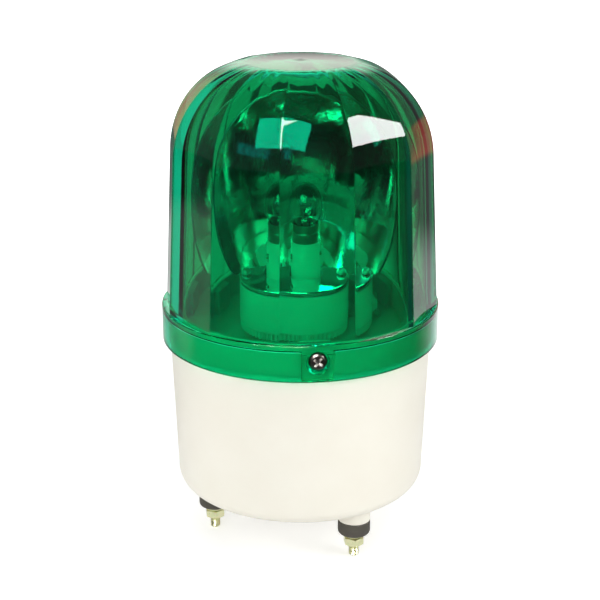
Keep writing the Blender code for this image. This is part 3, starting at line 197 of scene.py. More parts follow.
# White to the camera, pale behind the object and darker in front where metal and glass see it.
def makeSky():
    s = studio
    world = bpy.data.worlds.new("paleStudio")
    bpy.context.scene.world = world
    world.use_nodes = True
    tree = world.node_tree
    tree.nodes.clear()
    through, bare, shown = raysOf(tree)
    x, y, z = split(tree, addNode(tree, "ShaderNodeTexCoord").outputs["Generated"])
    level = fade(tree, y, -0.2, 0.7, s["skyFront"], s["skyBack"])
    high = fade(tree, z, 0.35, 0.8)
    sky = calc(tree, "ADD", times(tree, level, calc(tree, "SUBTRACT", 1.0, high)), times(tree, high, s["skyTop"]))
    shade = fade(tree, x, 0.1, 0.6, 1.0, s["rightShade"])
    seen = calc(tree, "MULTIPLY_ADD", bare, s["skyOffGloss"], times(tree, through, shade))
    plain = times(tree, calc(tree, "SUBTRACT", 1.0, calc(tree, "ADD", bare, through)), s["skyLight"])
    strength = calc(tree, "MAXIMUM", calc(tree, "MULTIPLY_ADD", seen, sky, plain), shown)
    glow = addNode(tree, "ShaderNodeBackground", {"Color": (1, 1, 1, 1), "Strength": strength})
    addNode(tree, "ShaderNodeOutputWorld", {"Surface": glow.outputs[0]})


# Lamps light the object; cards are what its gloss and glass see of them.
def makeLights():
    for name, azimuth, elevation, distance, width, height, power in studio["lamps"]:
        light = onScene(name, bpy.data.lights.new(name, "AREA"))
        light.data.shape = "RECTANGLE"
        light.data.size, light.data.size_y = width * mm, height * mm
        light.data.energy = power
        aimedFrom(light, azimuth, elevation, distance)
        light.visible_camera = light.visible_glossy = light.visible_transmission = False
    for name, azimuth, elevation, distance, width, height, edge, colour, offGloss, throughGlass in studio["cards"]:
        card, tree = stagePlane(name, width, height, name)
        aimedFrom(card, azimuth, elevation, distance)
        card.visible_camera = card.visible_diffuse = card.visible_shadow = False
        through, bare, shown = raysOf(tree)
        strength = calc(tree, "MULTIPLY_ADD", through, throughGlass, times(tree, bare, offGloss))
        x, y, z = split(tree, objectPlace(tree))
        for value, size in ((x, width), (y, height)):
            half = size * mm / 2
            far = calc(tree, "ABSOLUTE", value)
            strength = times(tree, strength, fade(tree, far, half * (1 - edge), half, 1.0, 0.0))
        showBoth(tree, addNode(tree, "ShaderNodeEmission", {"Color": (*colour, 1), "Strength": strength}),
                 addNode(tree, "ShaderNodeBsdfTransparent"))
    bpy.context.scene.view_settings.view_transform = "Standard"


makeCamera()
makeFloor()
makeSky()
makeLights()
print("camera, floor and lights are set")


# Mesh tools

def soften(piece, angle=30):
    piece.data.shade_smooth()
    piece.data.set_sharp_from_angle(angle=math.radians(angle))
    return piece


# Points in the same place become one; small holes and edges without length can go, and faces turn outwards.
def welded(mesh, dist=1e-7, holes=False, slivers=False, outwards=True):
    bm = bmesh.new()
    bm.from_mesh(mesh)
    bmesh.ops.remove_doubles(bm, verts=bm.verts, dist=dist)
    if holes:
        bmesh.ops.holes_fill(bm, edges=[e for e in bm.edges if e.is_boundary], sides=4)
    if slivers:
        bmesh.ops.dissolve_degenerate(bm, edges=bm.edges, dist=1e-8)
    if outwards:
        bmesh.ops.recalc_face_normals(bm, faces=bm.faces)
    bm.to_mesh(mesh)
    bm.free()


def plainMesh(name, points, faces):
    mesh = bpy.data.meshes.new(name)
    mesh.from_pydata([tuple(p) for p in points], [], faces)
    return onScene(name, mesh)


def fromPoints(name, points, faces, angle=30):
    piece = plainMesh(name, points, faces)
    welded(piece.data)
    return soften(piece, angle)


# An outline with a corner's third number as its rounding.
def rounded(corners, steps=4):
    line = []
    for i, corner in enumerate(corners):
        here = Vector(corner[:2])
        if len(corner) < 3:
            line.append(here)
            continue
        back = (Vector(corners[i - 1][:2]) - here).normalized()
        on = (Vector(corners[(i + 1) % len(corners)][:2]) - here).normalized()
        half = back.angle(on) / 2
        middle = here + (back + on).normalized() * corner[2] / math.sin(half)
        start = here + back * corner[2] / math.tan(half) - middle
        end = here + on * corner[2] / math.tan(half) - middle
        sweep = start.angle(end)
        for k in range(steps + 1):
            t = k / steps
            line.append(middle + (start * math.sin((1 - t) * sweep) + end * math.sin(t * sweep)) / math.sin(sweep))
    return line


# A closed turned shape about the axis, from an outline in millimetres.
def spun(name, corners, sides=96, steps=4, angle=30):
    outline = rounded(corners, steps)
    turns = [2 * math.pi * k / sides for k in range(sides)]
    points, rings = [], []
    for r, z in outline:
        if r < 1e-6:
            rings.append([len(points)] * sides)
            points.append((0, 0, z * mm))
        else:
            rings.append(list(range(len(points), len(points) + sides)))
            points += [(r * mm * math.sin(a), -r * mm * math.cos(a), z * mm) for a in turns]
    pairs = list(zip(rings, rings[1:]))
    if outline[0][0] > 1e-6 or outline[-1][0] > 1e-6:
        pairs.append((rings[-1], rings[0]))
    faces = []
    for low, high in pairs:
        for k in range(sides):
            face = [low[k], low[(k + 1) % sides], high[(k + 1) % sides], high[k]]
            face = [v for i, v in enumerate(face) if v != face[i - 1]]
            if len(face) > 2:
                faces.append(face)
    return fromPoints(name, points, faces, angle)


# Sides that run round a flat outline of so many points, from one row of them to the next.
def sidesOf(count, start=0):
    return [(start + k, start + (k + 1) % count, start + count + (k + 1) % count, start + count + k)
            for k in range(count)]


def inMetres(points):
    return [(x * mm, y * mm, z * mm) for x, y, z in points]


# Straight sides on a flat outline in millimetres.
def prism(name, outline, bottom, top):
    count = len(outline)
    points = inMetres([(x, y, z) for z in (bottom, top) for x, y in outline])
    return fromPoints(name, points, sidesOf(count) + [list(range(count)), list(range(count, 2 * count))])


def box(name, low, high):
    (x0, y0, z0), (x1, y1, z1) = low, high
    return prism(name, [(x0, y0), (x1, y0), (x1, y1), (x0, y1)], z0, z1)


def moved(piece, matrix):
    piece.data.transform(matrix)
    return piece


def shift(x=0, y=0, z=0):
    return Matrix.Translation((x * mm, y * mm, z * mm))


# A round bar or hole that stands on a spot, its ends plain or rounded.
def rod(name, spot, radius, low, high, sides, highRound=0, lowRound=0):
    corners = [(radius, z, edge) if edge else (radius, z) for z, edge in ((low, lowRound), (high, highRound))]
    return moved(spun(name, [(0, low), *corners, (0, high)], sides), shift(*spot))


# A plain ring about the axis, all its edges rounded alike.
def ringOf(name, bore, radius, low, high, sides, edge):
    return spun(name, [(bore, low, edge), (radius, low, edge), (radius, high, edge), (bore, high, edge)], sides)


# Lays an outline drawn in Y and Z, so that its thickness runs along X.
sideways = Matrix(((0, 0, 1, 0), (1, 0, 0, 0), (0, 1, 0, 0), (0, 0, 0, 1)))


def turned(degrees, axis="Z"):
    return Matrix.Rotation(math.radians(degrees), 4, axis)


# A place on a circle, counted from the front towards +X, in millimetres.
def around(degrees, radius):
    a = math.radians(degrees)
    return radius * math.sin(a), -radius * math.cos(a)


def hexagon(corner):
    return [around(60 * k + 30, corner) for k in range(6)]


# All the pieces' meshes in one object.
def joined(name, pieces):
    bm = bmesh.new()
    for piece in pieces:
        bm.from_mesh(piece.data)
        bpy.data.objects.remove(piece)
    mesh = bpy.data.meshes.new(name)
    bm.to_mesh(mesh)
    bm.free()
    return onScene(name, mesh)


# The mesh that a piece's curve or modifiers come to.
def meshOf(piece):
    bpy.context.view_layer.update()
    return bpy.data.meshes.new_from_object(piece.evaluated_get(bpy.context.evaluated_depsgraph_get()))


def settled(piece):
    mesh = meshOf(piece)
    piece.modifiers.clear()
    piece.data = mesh
    return piece


# Cuts the tools out of the target, or welds them on.
def carved(target, tools, operation="DIFFERENCE", angle=30):
    tool = joined("tool", tools)
    cutter = target.modifiers.new("carve", "BOOLEAN")
    cutter.operation = operation
    cutter.solver = "EXACT"
    cutter.object = tool
    settled(target)
    bpy.data.objects.remove(tool)
    welded(target.data, holes=True, outwards=False)
    return soften(target, angle)


# Lays a piece that stands on the axis outwards at a height in millimetres.
def screwTurn(degrees, height):
    return turned(degrees) @ shift(z=height) @ turned(90, "X")


# Geometry node trees

# A tree and what comes in through its inputs, the last of which is always the finish.
def newTree(name, **sockets):
    tree = bpy.data.node_groups.new(name, "GeometryNodeTree")
    tree.interface.new_socket("Geometry", in_out="INPUT", socket_type="NodeSocketGeometry")
    for label, kind in (*sockets.items(), ("Finish", "Material")):
        tree.interface.new_socket(label, in_out="INPUT", socket_type="NodeSocket" + kind)
    tree.interface.new_socket("Geometry", in_out="OUTPUT", socket_type="NodeSocketGeometry")
    return tree, tree.nodes.new("NodeGroupInput").outputs


# Ends the tree: the shape made real, merged if that is asked for, and given its finish.
def endTree(tree, given, shape, merged=False):
    real = addNode(tree, "GeometryNodeRealizeInstances", {"Geometry": shape.outputs[0]})
    if merged:
        real = addNode(tree, "GeometryNodeMergeByDistance", {"Geometry": real.outputs[0], "Distance": given["Merge"]})
    finish = addNode(tree, "GeometryNodeSetMaterial", {"Geometry": real.outputs[0], "Material": given["Finish"]})
    addNode(tree, "NodeGroupOutput", {0: finish.outputs[0]})
    return tree


# Runs a geometry tree on the piece and keeps the mesh it makes.
def grown(piece, tree, **values):
    modifier = piece.modifiers.new(tree.name, "NODES")
    modifier.node_group = tree
    for item in tree.interface.items_tree:
        if item.in_out == "INPUT" and item.name in values:
            modifier[item.identifier] = values[item.name]
    return settled(piece)


# Copies of the piece set round the axis and merged where they meet.
def makeRoundTree():
    tree, given = newTree("setRound", Count="Int", Turn="Float", Merge="Float")
    spots = addNode(tree, "GeometryNodePoints", {"Count": given["Count"]})
    step = calc(tree, "DIVIDE", 2 * math.pi, given["Count"])
    number = addNode(tree, "GeometryNodeInputIndex").outputs[0]
    spin = addNode(tree, "ShaderNodeCombineXYZ", {"Z": calc(tree, "ADD", times(tree, number, step), given["Turn"])})
    copies = addNode(tree, "GeometryNodeInstanceOnPoints", {
        "Points": spots.outputs[0], "Instance": given["Geometry"], "Rotation": spin.outputs[0]})
    return endTree(tree, given, copies, merged=True)


# A round wire wound in a spiral about the axis.
def makeCoilTree():
    tree, given = newTree("woundWire", Turns="Float", Radius="Float", Length="Float", Wire="Float", Steps="Int")
    path = addNode(tree, "GeometryNodeCurveSpiral", {
        "Resolution": given["Steps"], "Rotations": given["Turns"], "Start Radius": given["Radius"],
        "End Radius": given["Radius"], "Height": given["Length"]})
    ring = addNode(tree, "GeometryNodeCurvePrimitiveCircle", {"Resolution": 10, "Radius": given["Wire"]})
    wire = addNode(tree, "GeometryNodeCurveToMesh", {
        "Curve": path.outputs[0], "Profile Curve": ring.outputs[0], "Fill Caps": True})
    return endTree(tree, given, wire)


# Presses a screw thread into a turned shaft between two heights.
def makeThreadTree():
    tree, given = newTree("cutThread", Pitch="Float", Depth="Float", Low="Float", High="Float")
    x, y, z = split(tree, addNode(tree, "GeometryNodeInputPosition").outputs[0])
    turns = lambda length: calc(tree, "DIVIDE", length, given["Pitch"])
    angle = calc(tree, "DIVIDE", calc(tree, "ARCTAN2", y, x), 2 * math.pi)
    wave = times(tree, calc(tree, "PINGPONG", calc(tree, "SUBTRACT", turns(z), angle), 0.5), 2.0)
    ends = calc(tree, "MINIMUM", turns(calc(tree, "SUBTRACT", z, given["Low"])),
                turns(calc(tree, "SUBTRACT", given["High"], z)))
    runOut = calc(tree, "MINIMUM", calc(tree, "MAXIMUM", ends, 0.0), 1.0)
    depth = times(tree, times(tree, wave, runOut), times(tree, given["Depth"], -1.0))
    outward = addNode(tree, "ShaderNodeCombineXYZ", {"X": x, "Y": y}).outputs[0]
    outward = addNode(tree, "ShaderNodeVectorMath", {0: outward}, operation="NORMALIZE").outputs[0]
    offset = addNode(tree, "ShaderNodeVectorMath", {0: outward, "Scale": depth}, operation="SCALE").outputs[0]
    return endTree(tree, given, addNode(tree, "GeometryNodeSetPosition", {
        "Geometry": given["Geometry"], "Offset": offset}))


roundTree = makeRoundTree()
coilTree = makeCoilTree()
threadTree = makeThreadTree()


# Shader groups

def newGroup(name, *inputs):
    tree = bpy.data.node_groups.new(name, "ShaderNodeTree")
    for label in inputs:
        tree.interface.new_socket(label, in_out="INPUT", socket_type="NodeSocketFloat")
    return tree, tree.nodes.new("NodeGroupInput").outputs


def endGroup(tree, **outputs):
    for label in outputs:
        tree.interface.new_socket(label, in_out="OUTPUT", socket_type="NodeSocketFloat")
    addNode(tree, "NodeGroupOutput", outputs)
    return tree


def noise(tree, place, scale, detail, roughness=0.5):
    return addNode(tree, "ShaderNodeTexNoise", {"Vector": place, "Scale": scale, "Detail": detail,
                                                "Roughness": roughness}).outputs[0]


# Fine moulded or cast grain as a height, and slow cloudy change.
def makeGrainGroup():
    tree, given = newGroup("mouldGrain", "Grain Scale", "Cloud Scale")
    place = objectPlace(tree)
    return endGroup(tree, Height=noise(tree, place, given["Grain Scale"], 3.0, 0.6),
                    Cloud=noise(tree, place, given["Cloud Scale"], 4.0, 0.55))


# Thin scattered scratches as a mask.
def makeScratchGroup():
    tree, given = newGroup("fineScratches", "Scale", "Amount")
    place = objectPlace(tree)
    masks = []
    for angle, stretch in ((0.4, 14.0), (1.9, 18.0), (2.8, 11.0)):
        laid = addNode(tree, "ShaderNodeMapping", {
            "Vector": place, "Rotation": (angle, angle * 1.7, angle * 0.6), "Scale": (1.0, stretch, 1.0)})
        field = noise(tree, laid.outputs[0], given["Scale"], 2.0)
        line = calc(tree, "ABSOLUTE", calc(tree, "SUBTRACT", field, 0.5))
        masks.append(spread(tree, line, 0.0, 0.006, 1.0, 0.0))
    strong = calc(tree, "MAXIMUM", calc(tree, "MAXIMUM", masks[0], masks[1]), masks[2])
    patches = spread(tree, noise(tree, place, 60.0, 2.0), 0.5, 0.62)
    return endGroup(tree, Mask=times(tree, strong, patches, given["Amount"]))


# Dust on faces that look up, as a mask.
def makeDustGroup():
    tree, given = newGroup("settledDust", "Amount", "Scale")
    up = split(tree, addNode(tree, "ShaderNodeNewGeometry").outputs["Normal"])["Z"]
    speck = spread(tree, noise(tree, objectPlace(tree), given["Scale"], 6.0, 0.7), 0.42, 0.75)
    return endGroup(tree, Mask=times(tree, spread(tree, up, 0.3, 1.0), speck, given["Amount"]))


# Fine rings round the beacon's axis, as left by a lathe.
def makeTurnedGroup():
    tree, given = newGroup("latheRings", "Scale")
    x, y, z = split(tree, objectPlace(tree))
    radius = calc(tree, "SQRT", calc(tree, "ADD", times(tree, x, x), times(tree, y, y)))
    along = addNode(tree, "ShaderNodeCombineXYZ", {"X": radius, "Z": z}).outputs[0]
    return endGroup(tree, Height=noise(tree, along, given["Scale"], 2.0), Sheen=noise(tree, along, 700.0, 3.0))


grainGroup = makeGrainGroup()
scratchGroup = makeScratchGroup()
dustGroup = makeDustGroup()
turnedGroup = makeTurnedGroup()


# Finishes

# A material with one Principled shader, and its tree and shader.
def newFinish(name, **plain):
    material = bpy.data.materials.new(name)
    material.use_nodes = True
    shader = material.node_tree.nodes["Principled BSDF"]
    for label, value in plain.items():
        shader.inputs[label].default_value = value
    return material, material.node_tree, shader


def fill(tree, group, **inputs):
    made = tree.nodes.new("ShaderNodeGroup")
    made.node_tree = group
    for label, value in inputs.items():
        made.inputs[label].default_value = value
    return made.outputs


# Grain and cloud at these scales.
def skinOf(tree, grain, cloud):
    return fill(tree, grainGroup, **{"Grain Scale": grain, "Cloud Scale": cloud})


def scratchesOf(tree, scale, amount):
    return fill(tree, scratchGroup, Scale=scale, Amount=amount)["Mask"]


# A colour between two, by a factor from the tree.
def blended(tree, factor, first, second):
    mix = addNode(tree, "ShaderNodeMix", data_type="RGBA")
    for index, value in ((0, factor), (6, first), (7, second)):
        if isinstance(value, bpy.types.NodeSocket):
            tree.links.new(value, mix.inputs[index])
        else:
            mix.inputs[index].default_value = (*value, 1)
    return mix.outputs[2]


# Gives the shader its colour, its roughness with more of it on scratches and dust, and its relief.
def dress(tree, shader, tone, rough, marks, scuff, height, strength, distance, film=None):
    rough = calc(tree, "ADD", rough, times(tree, marks, scuff))
    if film is not None:
        rough = calc(tree, "ADD", rough, times(tree, film, 0.4))
    bump = addNode(tree, "ShaderNodeBump", {"Strength": strength, "Distance": distance, "Height": height})
    for label, value in (("Base Color", tone), ("Roughness", rough), ("Normal", bump.outputs[0])):
        tree.links.new(value, shader.inputs[label])


# Moulded plastic or rubber with cloudy colour, grain, scuffs and a little dust.
def plasticFinish(name, colour, shade, roughness, grain=2200.0, depth=0.00002, dust=0.1, scratches=0.15):
    material, tree, shader = newFinish(name)
    skin, marks = skinOf(tree, grain, 55.0), scratchesOf(tree, 70.0, scratches)
    film = fill(tree, dustGroup, Amount=dust, Scale=420.0)["Mask"]
    tone = blended(tree, spread(tree, skin["Cloud"], 0.3, 0.7), colour, shade)
    tone = blended(tree, film, tone, (0.62, 0.6, 0.55))
    rough = spread(tree, skin["Cloud"], 0.3, 0.7, roughness - 0.05, roughness + 0.05)
    dress(tree, shader, tone, rough, marks, 0.25, skin["Height"], 0.35, depth, film)
    return material


# Turned or plated metal with tool rings, tarnish and scratches.
def metalFinish(name, colour, shade, roughness):
    material, tree, shader = newFinish(name, Metallic=1.0)
    lathe = fill(tree, turnedGroup, Scale=9000.0)
    skin, marks = skinOf(tree, 1400.0, 160.0), scratchesOf(tree, 160.0, 0.3)
    tone = blended(tree, spread(tree, skin["Cloud"], 0.35, 0.68), colour, shade)
    rough = spread(tree, lathe["Sheen"], 0.3, 0.7, roughness - 0.06, roughness + 0.08)
    dress(tree, shader, tone, rough, marks, 0.2, lathe["Height"], 0.25, 0.00001)
    return material


# Clear plastic or glass that lets the lamps' light through, tinted.
def clearFinish(name, colour, shadow, roughness, ior, scratches, ripple):
    material, tree, shader = newFinish(name, **{"Transmission Weight": 1.0, "IOR": ior})
    skin, marks = skinOf(tree, 120.0, 22.0), scratchesOf(tree, 55.0, scratches)
    tone = blended(tree, spread(tree, skin["Cloud"], 0.3, 0.7), colour, tuple(0.97 * c for c in colour))
    dress(tree, shader, tone, roughness, marks, 0.12, skin["Height"], 0.12, ripple)
    path = addNode(tree, "ShaderNodeLightPath").outputs
    through = addNode(tree, "ShaderNodeBsdfTransparent", {"Color": (*shadow, 1)})
    mixed = addNode(tree, "ShaderNodeMixShader", {
        0: path["Is Shadow Ray"], 1: shader.outputs[0], 2: through.outputs[0]})
    tree.links.new(mixed.outputs[0], tree.nodes["Material Output"].inputs["Surface"])
    return material


# Yellow passivated zinc, with its pink and green clouds.
def makeZinc():
    material, tree, shader = newFinish("yellowZincPlate", Metallic=1.0)
    skin = skinOf(tree, 1800.0, 420.0)
    lathe = fill(tree, turnedGroup, Scale=5000.0)
    ramp = addNode(tree, "ShaderNodeValToRGB", {"Fac": skin["Cloud"]})
    stops = ramp.color_ramp.elements
    stops.remove(stops[1])
    for i, (spot, colour) in enumerate(((0.3, (0.88, 0.82, 0.40)), (0.45, (0.93, 0.91, 0.58)),
                                        (0.58, (0.82, 0.87, 0.50)), (0.7, (0.9, 0.76, 0.56)))):
        stop = stops[0] if i == 0 else stops.new(spot)
        stop.position = spot
        stop.color = (*colour, 1)
    bump = addNode(tree, "ShaderNodeBump", {"Strength": 0.25, "Distance": 0.00001, "Height": skin["Height"]})
    for label, value in (("Base Color", ramp.outputs[0]), ("Normal", bump.outputs[0]),
                         ("Roughness", spread(tree, lathe["Sheen"], 0.3, 0.7, 0.24, 0.42))):
        tree.links.new(value, shader.inputs[label])
    return material


# Vacuum coated mirror with the slight ripple of the moulding under it.
def makeMirror():
    material, tree, shader = newFinish("mirrorCoat", Metallic=1.0)
    skin, marks = skinOf(tree, 210.0, 35.0), scratchesOf(tree, 60.0, 0.3)
    tone = blended(tree, spread(tree, skin["Cloud"], 0.35, 0.7), (0.91, 0.915, 0.92), (0.86, 0.865, 0.88))
    rough = spread(tree, skin["Cloud"], 0.3, 0.7, 0.03, 0.09)
    dress(tree, shader, tone, rough, marks, 0.12, skin["Height"], 0.25, 0.0002)
    return material


greenClear = clearFinish("greenClearPlastic", (0.001, 0.61, 0.31), (0.045, 0.68, 0.47), 0.012, 1.49, 0.12, 0.00002)
lampGlass = clearFinish("clearLampGlass", (0.97, 0.985, 0.98), (0.98, 0.99, 0.99), 0.0, 1.5, 0.0, 0.00001)
creamPlastic = plasticFinish("creamHousingPlastic", (0.905, 0.875, 0.775), (0.885, 0.85, 0.745), 0.4,
                             dust=0.02, scratches=0.1)
blackRubber = plasticFinish("darkRubber", (0.052, 0.046, 0.036), (0.085, 0.078, 0.064), 0.66,
                            grain=3200.0, depth=0.00004, dust=0.25)
blackPlastic = plasticFinish("blackPlastic", (0.012, 0.012, 0.013), (0.02, 0.02, 0.021), 0.42, dust=0.12)
chassisPlastic = plasticFinish("greyChassisPlastic", (0.36, 0.36, 0.35), (0.42, 0.42, 0.41), 0.46, dust=0.08)
paleSilicone = plasticFinish("paleSilicone", (0.86, 0.84, 0.78), (0.82, 0.8, 0.74), 0.5,
                             grain=3000.0, dust=0.0, scratches=0.0)
holderPlastic = plasticFinish("whiteHolderPlastic", (0.83, 0.84, 0.82), (0.76, 0.78, 0.75), 0.42,
                              grain=1500.0, dust=0.03)
whiteNylon = plasticFinish("whiteNylon", (0.86, 0.87, 0.85), (0.8, 0.82, 0.79), 0.38, grain=1500.0, dust=0.03)
brownLaminate = plasticFinish("brownLaminate", (0.24, 0.1, 0.04), (0.16, 0.06, 0.02), 0.5)
boardLacquer = plasticFinish("greenBoardLacquer", (0.02, 0.17, 0.06), (0.015, 0.12, 0.045), 0.3)
terminalPlastic = plasticFinish("greenTerminalPlastic", (0.02, 0.16, 0.07), (0.02, 0.13, 0.055), 0.42)
greyPlastic = plasticFinish("greySirenPlastic", (0.07, 0.07, 0.075), (0.05, 0.05, 0.055), 0.5)
blueSleeve = plasticFinish("darkBlueSleeve", (0.02, 0.03, 0.12), (0.015, 0.02, 0.09), 0.3)
redLead = plasticFinish("redLeadSleeve", (0.45, 0.015, 0.015), (0.36, 0.012, 0.012), 0.45)
blueLead = plasticFinish("blueLeadSleeve", (0.015, 0.04, 0.28), (0.012, 0.03, 0.22), 0.45)
blackLead = plasticFinish("blackLeadSleeve", (0.015, 0.015, 0.015), (0.024, 0.024, 0.024), 0.5)
# the lamp cap's metal is darkened as painted shade
capMetalPaintedShade = metalFinish("dullCapMetalPaintedShade", (0.36, 0.34, 0.3), (0.28, 0.26, 0.23), 0.42)
brightSteel = metalFinish("platedSteel", (0.66, 0.66, 0.64), (0.52, 0.52, 0.51), 0.3)
greySteel = metalFinish("greyScrewSteel", (0.5, 0.5, 0.48), (0.42, 0.42, 0.4), 0.5)
darkSteel = metalFinish("darkScrewSteel", (0.16, 0.14, 0.125), (0.1, 0.085, 0.075), 0.32)
# bright steel for the lens screws' cross recess: a painted highlight
highlightRecessSteel = metalFinish("paintedHighlightRecessSteel", (0.9, 0.88, 0.85), (0.75, 0.73, 0.7), 0.25)
plainBrass = metalFinish("plainBrass", (0.72, 0.53, 0.24), (0.55, 0.38, 0.15), 0.32)
tungstenWire = metalFinish("tungstenWire", (0.3, 0.3, 0.31), (0.24, 0.24, 0.25), 0.4)
# dull dark metal for the bowl's lip, and the painted shadow round the lamp holder
dullLipAndShadowRing = metalFinish("dullLipAndPaintedShadowRing", (0.24, 0.24, 0.24), (0.18, 0.18, 0.18), 0.4)
yellowZinc = makeZinc()
mirrorCoat = makeMirror()
print("finishes are made")


# Gives a piece its finish and its body, and hides the CAD nodes it stands for.
def finished(piece, material, body, slot, *replaced):
    if material is not None:
        piece.data.materials.clear()
        piece.data.materials.append(material)
    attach(piece, body)
    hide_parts(*replaced)
    return piece


# Places that several pieces share

screwAngles = (0, 120, 240)     # of the three screws in the lens's flange
restTurn = -6.9     # the reflector stands turned a little to the left
cupScrews = [(-20, -1.5), (20, -1.5)]       # before that turn
smallHole = 1.7     # radius of the holes that the small screws stand in


def rotorSpot(x, y):
    spot = turned(restTurn) @ Vector((x, y, 0))
    return spot.x, spot.y


def boxMiddle(node):
    low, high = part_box(node)
    return (low.x + high.x) / 2 / mm, (low.y + high.y) / 2 / mm


rotorSpots = [rotorSpot(*spot) for spot in cupScrews]
chassisAngles, chassisCircle = (60, 180, 300), 38       # of the posts under the chassis
chassisSpots = [around(a, chassisCircle) for a in chassisAngles]
motorSpots = [boxMiddle(f"motor_screw_{i}") for i in (1, 2)]


# Lens

lens = {
    "facets": 12, "flangeRadius": 52.5, "flangeBottom": 80.9, "flangeTop": 94.6, "edgeRound": 0.5,
    "radius": 51.95, "draft": 2.82, "shoulderBottom": 152.3, "shoulderReach": 33.2, "shoulderRise": 35.0,
    "crownRadius": 20.8, "crownTop": 185.638, "fade": 0.35,
    "wall": 2.0, "topWall": 3.2, "ledgeBottom": 91.9, "skirtBore": 50.5, "cornerRound": 1.1,
    "screwHeight": 88.4, "wellRadius": 4.2, "wellFloor": 50.1, "holeRadius": 2.2,
    "bossWidth": 11.0, "bossBottom": 81.2, "bossTop": 92.8, "bossSeat": 48.3,
    "flutes": 36, "fluteDepth": 0.07, "fluteFrom": 172.0, "fluteFull": 181.0, "fluteInner": 12.0, "fluteEase": 8.0,
}


# Radius of a rounded twelve-sided outline, as a share of the radius over its corners.
def facetShape(away, roundShare):
    half = math.pi / lens["facets"]
    inside = math.cos(half)
    centre = (inside - roundShare) / inside
    fromCorner = half - abs(away)
    start = half - math.atan((inside - roundShare) * math.tan(half) / inside)
    if fromCorner > start:
        return inside / math.cos(away)
    return centre * math.cos(fromCorner) + math.sqrt(roundShare ** 2 - (centre * math.sin(fromCorner)) ** 2)


# Rows of the wall, up the outside and down the inside: radius, height, how much facet, and the way of the flutes.
def lensRows():
    p = lens
    slope = math.tan(math.radians(p["draft"]))
    inside = math.cos(math.pi / p["facets"])
    bottom, top, flange, edge = p["flangeBottom"], p["flangeTop"], p["flangeRadius"], p["edgeRound"]
    shoulder, reach, rise, crown = p["shoulderBottom"], p["shoulderReach"], p["shoulderRise"], p["crownRadius"]
    side = lambda z: p["radius"] - (z - top) * slope
    rows = [(flange - 0.25, bottom, 0), (flange, bottom + 0.25, 0), (flange, 86, 0), (flange, top - edge - 0.2, 0)]
    for i in range(4):
        a = math.pi / 2 * i / 3
        rows.append((flange - edge * (1 - math.cos(a)), top - edge * (1 - math.sin(a)), 0))
    rows.append((p["radius"], top, 1))
    rows += [(side(z), z, 1) for z in (top + 0.3, top + 8, top + 25, top + 42, shoulder - 3)]
    tangent = math.atan(slope * rise / reach)
    middle = side(shoulder) - reach * math.cos(tangent)
    level = shoulder - rise * math.sin(tangent)
    last = math.acos((crown - middle) / reach)
    steps = 24
    dome = []
    for i in range(steps + 1):
        a = tangent + (last - tangent) * i / steps
        dome.append((middle + reach * math.cos(a), level + rise * math.sin(a), 1 - p["fade"] * i / steps))
    crownEdge = dome[-1][1]
    crownRise = p["crownTop"] - crownEdge
    for r in (20.3, 18.0, 14.0, 9.0, 4.0, 1.5):
        share = r / crown
        dome.append((r, crownEdge + crownRise * (1 - share ** 2), (1 - p["fade"]) * share ** 2))
    rows += dome + [(r, p["crownTop"] - down, 0) for r, down in ((1.2, 0.04), (0.75, 0.06), (0.5, 0.01), (0, 0))]
    # inside, the crown bulges up at the dome's own slope, so that no edge shows through it
    bulge = crown * rise / reach / math.tan(last) / 2
    inner = [(r, z if r > crown - 0.01 else crownEdge + bulge * (1 - (r / crown) ** 2), share)
             for r, z, share in dome]
    rows.append((0, crownEdge + bulge - p["topWall"], 0))
    # a wall's thickness in from the middles of the facets
    line = [Vector((r * (1 + share * (inside - 1)), z)) for r, z, share in inner]
    for i in range(len(line) - 2, 0, -1):
        along = (line[i + 1] - line[i - 1]).normalized()
        wall = p["wall"] + (p["topWall"] - p["wall"]) * i / len(line)
        r, z = line[i].x - along.y * wall, line[i].y + along.x * wall
        deep = min(max((z - p["fluteFrom"]) / (p["fluteFull"] - p["fluteFrom"]), 0), 1)
        deep = deep * deep * (3 - 2 * deep) * min(max((r - p["fluteInner"]) / p["fluteEase"], 0), 1)
        rows.append((r, z, 0, along.y * deep * p["fluteDepth"], -along.x * deep * p["fluteDepth"]))
    bore = lambda z: side(z) * inside - p["wall"]
    ledge, skirt = p["ledgeBottom"], p["skirtBore"]
    rows += [(bore(z), z, 0) for z in (shoulder - 3, 130, 110, ledge + 0.6)]
    rows += [(r, z, 0) for r, z in (
        (bore(ledge) + 0.4, ledge), (skirt - 0.4, ledge), (skirt, ledge - 0.4), (skirt, 86),
        (skirt, bottom + 0.25), (skirt + 0.25, bottom))]
    return rows


